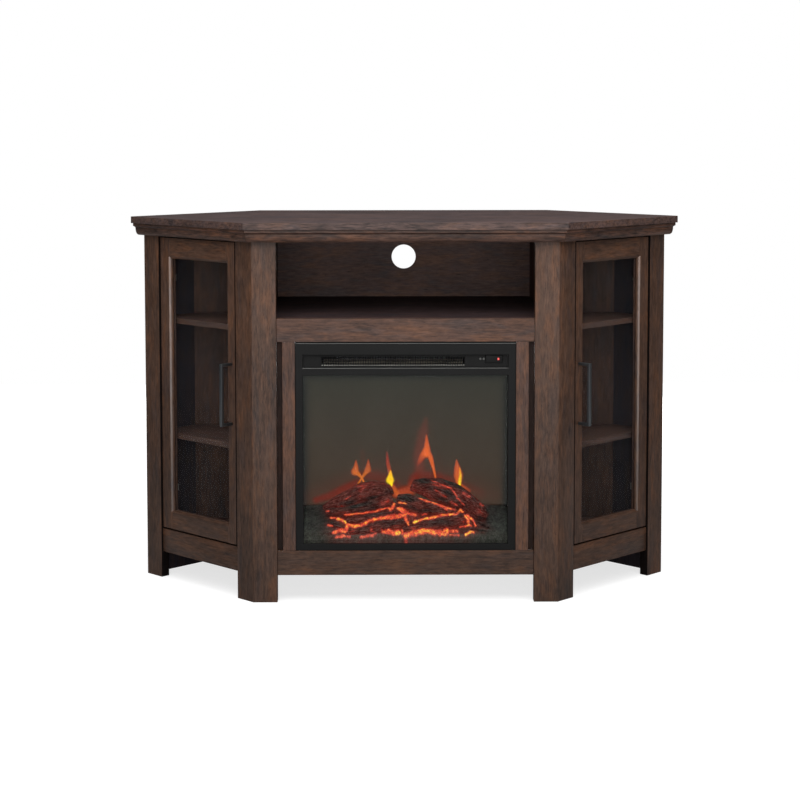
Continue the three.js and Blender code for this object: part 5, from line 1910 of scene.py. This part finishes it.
@dataclass(frozen=True)
class Log:
    """One charred log: its look, and a spine of X, depth, height and radius in millimetres."""

    name: str
    replaces: Optional[str]
    seed: int
    char: float
    heat: float
    columns: int
    spine: tuple[tuple[float, float, float, float], ...]
    closing_shares: tuple[float, ...] = (0.3, 0.62, 0.86)
    pitch: float = 1.5
    smoothing: int = 14
    bulge: float = 0.2
    groove_depth: float = 1.9
    grain_lift: float = 0.6
    groove_sharpness: float = 5.5
    end_tint: float = 0.03
    lump_scale: ClassVar[float] = 0.035
    ember_scale: ClassVar[float] = 0.045
    bark_scale: ClassVar[Point] = (0.028, 0.17, 0.17)
    grain_scale: ClassVar[Point] = (0.09, 0.5, 0.5)
    patch_scale: ClassVar[Point] = (0.02, 0.07, 0.07)
    red_bark: ClassVar[Vector] = Vector(srgb(132, 84, 76))
    grey_char: ClassVar[Vector] = Vector(srgb(84, 86, 82))

    def stations(self) -> Array:
        """Space the spine's points closely and smoothly.

        Returns:
            Rows of X, depth, height, radius and distance along the log.
        """
        spine = np.array(self.spine, dtype=float)
        travel = np.concatenate([[0], np.cumsum(np.linalg.norm(np.diff(spine[:, :3], axis=0), axis=1))])
        count = max(16, int(travel[-1] / self.pitch))
        even = np.linspace(0, travel[-1], count)
        rows = np.stack([np.interp(even, travel, spine[:, k]) for k in range(4)] + [even], axis=-1)
        return smoothed(rows, self.smoothing)

    def skin(self, place: Vector, shift: Vector) -> tuple[float, float, float]:
        """Give the bark's lift and groove depth at a place on the round log.

        Args:
            place: Distance along the log and the two across it, in millimetres.
            shift: Offset that picks the pattern.

        Returns:
            Lump, groove from 0 to 1, and fine grain.
        """
        lump = noise.noise(place * self.lump_scale + shift)
        bark = stretched(place, self.bark_scale) + shift
        ridges = abs(noise.noise(bark) + 0.3 * noise.noise(bark * 2.7))
        groove = max(0.0, 1 - ridges * self.groove_sharpness)
        return lump, groove, noise.noise(stretched(place, self.grain_scale) + shift)

    def dress(self, place: Vector, shift: Vector, groove: float, fine: float) -> tuple[Point, float]:
        """Give the bark's colour and its own warmth at a place.

        Args:
            place: Distance along the log and the two across it, in millimetres.
            shift: Offset that picks the pattern.
            groove: Groove from 0 to 1.
            fine: Fine grain.

        Returns:
            Tint and heat.
        """
        patch = noise.noise(stretched(place, self.patch_scale) - shift)
        share = min(1.0, max(0.0, self.char + 1.6 * patch))
        tone = max(0.14, 0.72 - 0.5 * groove + 1.15 * fine)
        glowing = max(0.0, noise.noise(place * self.ember_scale + shift * 3) + 0.25)
        warm = self.heat * (glowing * (0.12 + 1.1 * groove) * (1 - 0.6 * share) + 0.2 * (1 - share))
        return (self.red_bark.lerp(self.grey_char, share) * tone)[:], warm

    def build(self, embers: Embers) -> None:
        """Make the log.

        Args:
            embers: The glowing lines that run over it.
        """
        rows = self.stations()
        axis = Vector(rows[-1, :3] - rows[0, :3]).normalized()
        side = axis.cross(UP).normalized()
        top = side.cross(axis).normalized()
        shift = Vector(np.random.default_rng(self.seed).uniform(-40, 40, 3))
        order = [(0, share) for share in self.closing_shares] + [(k, 1.0) for k in range(len(rows))]
        order += [(len(rows) - 1, share) for share in self.closing_shares[::-1]]
        points, tints, warmth = [], [], []
        for index, spread in order:
            x, depth, height, radius, travel = rows[index]
            for k in range(self.columns):
                angle = math.tau * k / self.columns
                turn = side * math.cos(angle) + top * math.sin(angle)
                place = Vector((travel, radius * math.cos(angle), radius * math.sin(angle)))
                lump, groove, fine = self.skin(place, shift)
                carved = (self.groove_depth * groove - self.grain_lift * fine) * min(1.0, radius / 12)
                reach = radius * (1 + self.bulge * lump) - carved
                points.append((Vector((x, depth, height)) + turn * reach * spread)[:])
                tint, warm = self.dress(place, shift, groove, fine)
                tints.append(tint)
                warmth.append(warm)
        places = np.array(points)
        glow = embers.colour(np.maximum(np.array(warmth), embers.heat(places)))
        places = places * MM
        places[:, 1] = shift_y(places[:, 1])
        mesh = grid_mesh(places.reshape(len(order), self.columns, 3), tube=True)
        paint(mesh, "tint", np.vstack([np.array(tints), np.full((2, 3), self.end_tint)]))
        paint(mesh, "glow", np.vstack([glow, np.zeros((2, 3))]))
        nodes = (self.replaces,) if self.replaces else ()
        settle(self.name, mesh, Body.CASE, Finishes.LOG, nodes, smooth=True)


@dataclass
class LogSet:
    """The two big logs and the thinner charred pieces before them."""

    embers: Embers

    def logs(self) -> list[Log]:
        """List the logs by name, node, seed, char, heat, columns and spine."""
        rows = [
            ("left_log_bark", "left_log", 3, 0.3, 0.5, 110, (-178, 66, 191, 5), (-156, 71, 200, 10),
             (-130, 78, 206, 17), (-92, 86, 220, 22), (-61, 92, 224, 19), (-40, 97, 224, 16),
             (-27, 100, 219, 8)),
            ("left_log_heart", None, 5, 0.55, 0.35, 84, (-172, 62, 182, 5), (-137, 66, 183, 9),
             (-91, 76, 190, 12), (-46, 84, 200, 14), (-29, 88, 205, 11)),
            ("right_log_bark", "right_log", 7, 0.5, 0.5, 110, (15, 110, 231, 13), (35, 106, 228, 19),
             (66, 98, 225, 25), (97, 90, 215, 25), (128, 82, 202, 22), (151, 74, 190, 19),
             (178, 66, 174, 10)),
            ("right_lower_log", None, 12, 0.5, 0.4, 84, (-17, 88, 201, 15), (4, 84, 199, 18),
             (35, 76, 193, 17), (81, 66, 184, 9), (116, 60, 181, 4)),
            ("left_middle_branch", None, 17, 0.5, 0.5, 72, (-129, 50, 163, 5), (-114, 52, 165, 8.5),
             (-76, 58, 171, 7.5), (-38, 66, 177, 4), (-25, 70, 180, 2.5)),
            ("left_front_branch", None, 23, 0.3, 0.6, 72, (-127, 34, 142, 6), (-114, 36, 143, 10),
             (-82, 40, 148, 10.5), (-46, 46, 156, 12), (-8, 50, 160, 11), (4, 52, 159, 8)),
            ("right_front_branch", None, 29, 0.35, 0.6, 72, (-7, 38, 146, 7), (19, 42, 152, 8.5),
             (65, 48, 160, 11.5), (112, 54, 166, 15.5), (126, 56, 168, 13)),
            ("middle_stub", None, 37, 0.8, 0.2, 40, (-26, 66, 190, 5.5), (-16, 62, 187, 5),
             (-5, 56, 179, 5)),
            ("left_splinter", None, 41, 1.0, 0, 28, (-161, 52, 161, 2.4), (-146, 48, 155, 3.4),
             (-130, 44, 149, 3)),
            ("left_chip", None, 43, 1.0, 0.1, 28, (-163, 57, 168, 3), (-143, 50, 160, 2.4)),
            ("right_splinter", None, 47, 1.0, 0.1, 28, (140, 45, 149, 3.2), (160, 42, 146, 3),
             (178, 40, 143, 2)),
            ("right_chip", None, 53, 1.0, 0.1, 28, (153, 53, 161, 3.2), (181, 46, 151, 2.2)),
            ("right_leg", None, 59, 0.6, 0.5, 28, (127, 60, 178, 3), (136, 52, 164, 3.4),
             (139, 46, 152, 3)),
            ("right_outer_leg", None, 61, 0.6, 0.5, 28, (134, 60, 177, 3), (146, 52, 164, 3.2),
             (153, 47, 153, 3)),
        ]
        return [Log(*row[:6], row[6:]) for row in rows]

    def build(self) -> None:
        """Make every log."""
        for log in self.logs():
            log.build(self.embers)


@dataclass
class PhotoCamera:
    """Camera at the photograph's viewing angle."""

    place: Point = (-0.03469, -4.0837, 1.02761)
    yaw: float = -0.006
    pitch: float = 0.0765
    roll: float = -0.0009
    lens: float = 82.58
    sensor: float = 36
    rise: float = -0.175

    def build(self) -> None:
        """Make the camera."""
        data = bpy.data.cameras.new("photo_camera")
        data.lens = self.lens
        data.sensor_width = self.sensor
        data.shift_y = self.rise
        camera = linked("photo_camera", data)
        camera.location = self.place
        turn = (Euler((0, 0, self.yaw)).to_matrix() @ Euler((math.pi / 2 - self.pitch, 0, 0)).to_matrix()
                @ Euler((0, 0, self.roll)).to_matrix())
        camera.rotation_euler = turn.to_euler()
        bpy.context.scene.camera = camera
        LOG.info("camera at %s", self.place)


@dataclass
class Studio:
    """Pale floor, white surroundings and soft lamps."""

    floor_front: float = -1.6
    floor_back: float = 3.0
    floor_half: float = 2.6
    floor_colour: tuple[float, ...] = (0.4, 0.4, 0.4, 1.0)
    floor_glow: float = 0.72
    glow_near: float = 1.2
    glow_far: float = 2.2
    world_diffuse: float = 0.3
    world_gloss: float = 0.1

    def world(self) -> None:
        """Make surroundings that look white and light the piece evenly."""
        world = bpy.data.worlds.new("studio")
        world.use_nodes = True
        bpy.context.scene.world = world
        world.node_tree.nodes.clear()
        sheet = NodeSheet(world.node_tree)
        glossy = sheet.add("ShaderNodeLightPath").outputs["Is Glossy Ray"]
        plain = sheet.span(glossy, 0.0, 1.0, self.world_diffuse, self.world_gloss)
        level = sheet.maths("MAXIMUM", self.seen(sheet), plain)
        back = sheet.add("ShaderNodeBackground", {"Color": (1.0, 1.0, 1.0, 1.0), "Strength": level})
        sheet.add("ShaderNodeOutputWorld", {"Surface": back.outputs[0]})

    @staticmethod
    def seen(sheet: NodeSheet) -> Socket:
        """Give 1 for rays that the camera sees directly or through glass."""
        ray = sheet.add("ShaderNodeLightPath").outputs
        return sheet.maths("MAXIMUM", ray["Is Camera Ray"], ray["Is Transmission Ray"])

    def floor(self) -> None:
        """Make the floor."""
        half, near, far = self.floor_half, self.floor_front, self.floor_back
        verts = [(-half, near, 0), (half, near, 0), (half, far, 0), (-half, far, 0)]
        mesh = bpy.data.meshes.new("floor")
        mesh.from_pydata(verts, [], [(0, 1, 2, 3)])
        floor = linked("floor", mesh)
        material, sheet, shader = start_material("floor")
        away = sheet.add("ShaderNodeVectorMath", {0: sheet.place()}, operation="LENGTH").outputs["Value"]
        glow = sheet.span(away, self.glow_near, self.glow_far, self.floor_glow, 1.0)
        sheet.fill(shader, {"Base Color": self.floor_colour, "Roughness": 0.9, "Specular IOR Level": 0.0,
                            "Emission Color": (1.0, 1.0, 1.0, 1.0),
                            "Emission Strength": sheet.maths("MULTIPLY", self.seen(sheet), glow)})
        mesh.materials.append(material)

    def lamp(self, name: str, place: Point, aim: Point, size: Span, power: float) -> None:
        """Place a soft box.

        Args:
            name: The lamp's name.
            place: Its centre.
            aim: Point that it faces.
            size: Width and height.
            power: Watts.
        """
        data = bpy.data.lights.new(name, "AREA")
        data.shape = "RECTANGLE"
        data.size, data.size_y = size
        data.energy = power
        lamp = linked(name, data)
        lamp.visible_camera = False
        lamp.location = place
        lamp.rotation_euler = (Vector(aim) - Vector(place)).to_track_quat("-Z", "Y").to_euler()

    def build(self) -> None:
        """Make the surroundings, the floor and the lamps."""
        self.world()
        self.floor()
        self.lamp("key_softbox", (0, -1.3, 1.6), (0, 0, 0.6), (2.8, 0.8), 25)
        self.lamp("front_softbox", (0, -4.6, 0.6), (0, 0, 0.45), (2.2, 3.4), 66)
        self.lamp("top_softbox", (0, -0.3, 3.2), (0, 0, 0), (3.0, 2.4), 78)
        self.lamp("rear_softbox", (0, 2.7, 0.36), (0, 0, 0.4), (3.0, 0.6), 40)
        LOG.info("studio: floor, surroundings and four soft boxes")


def main() -> None:
    """Build the stand and its surroundings."""
    logging.basicConfig(level=logging.INFO, format="%(name)s: %(message)s")
    bpy.context.scene.view_settings.view_transform = "Standard"
    PhotoCamera().build()
    Studio().build()
    Carcass().build()
    for side in Side:
        GlassDoor(side).build()
        SideCupboard(side).build()
    FireInsert().build()
    WarmAir().build()
    FlameDrive().build()
    FlameScreen().build()
    embers = Embers()
    EmberBed(embers).build()
    LogSet(embers).build()


if __name__ == "__main__":
    main()
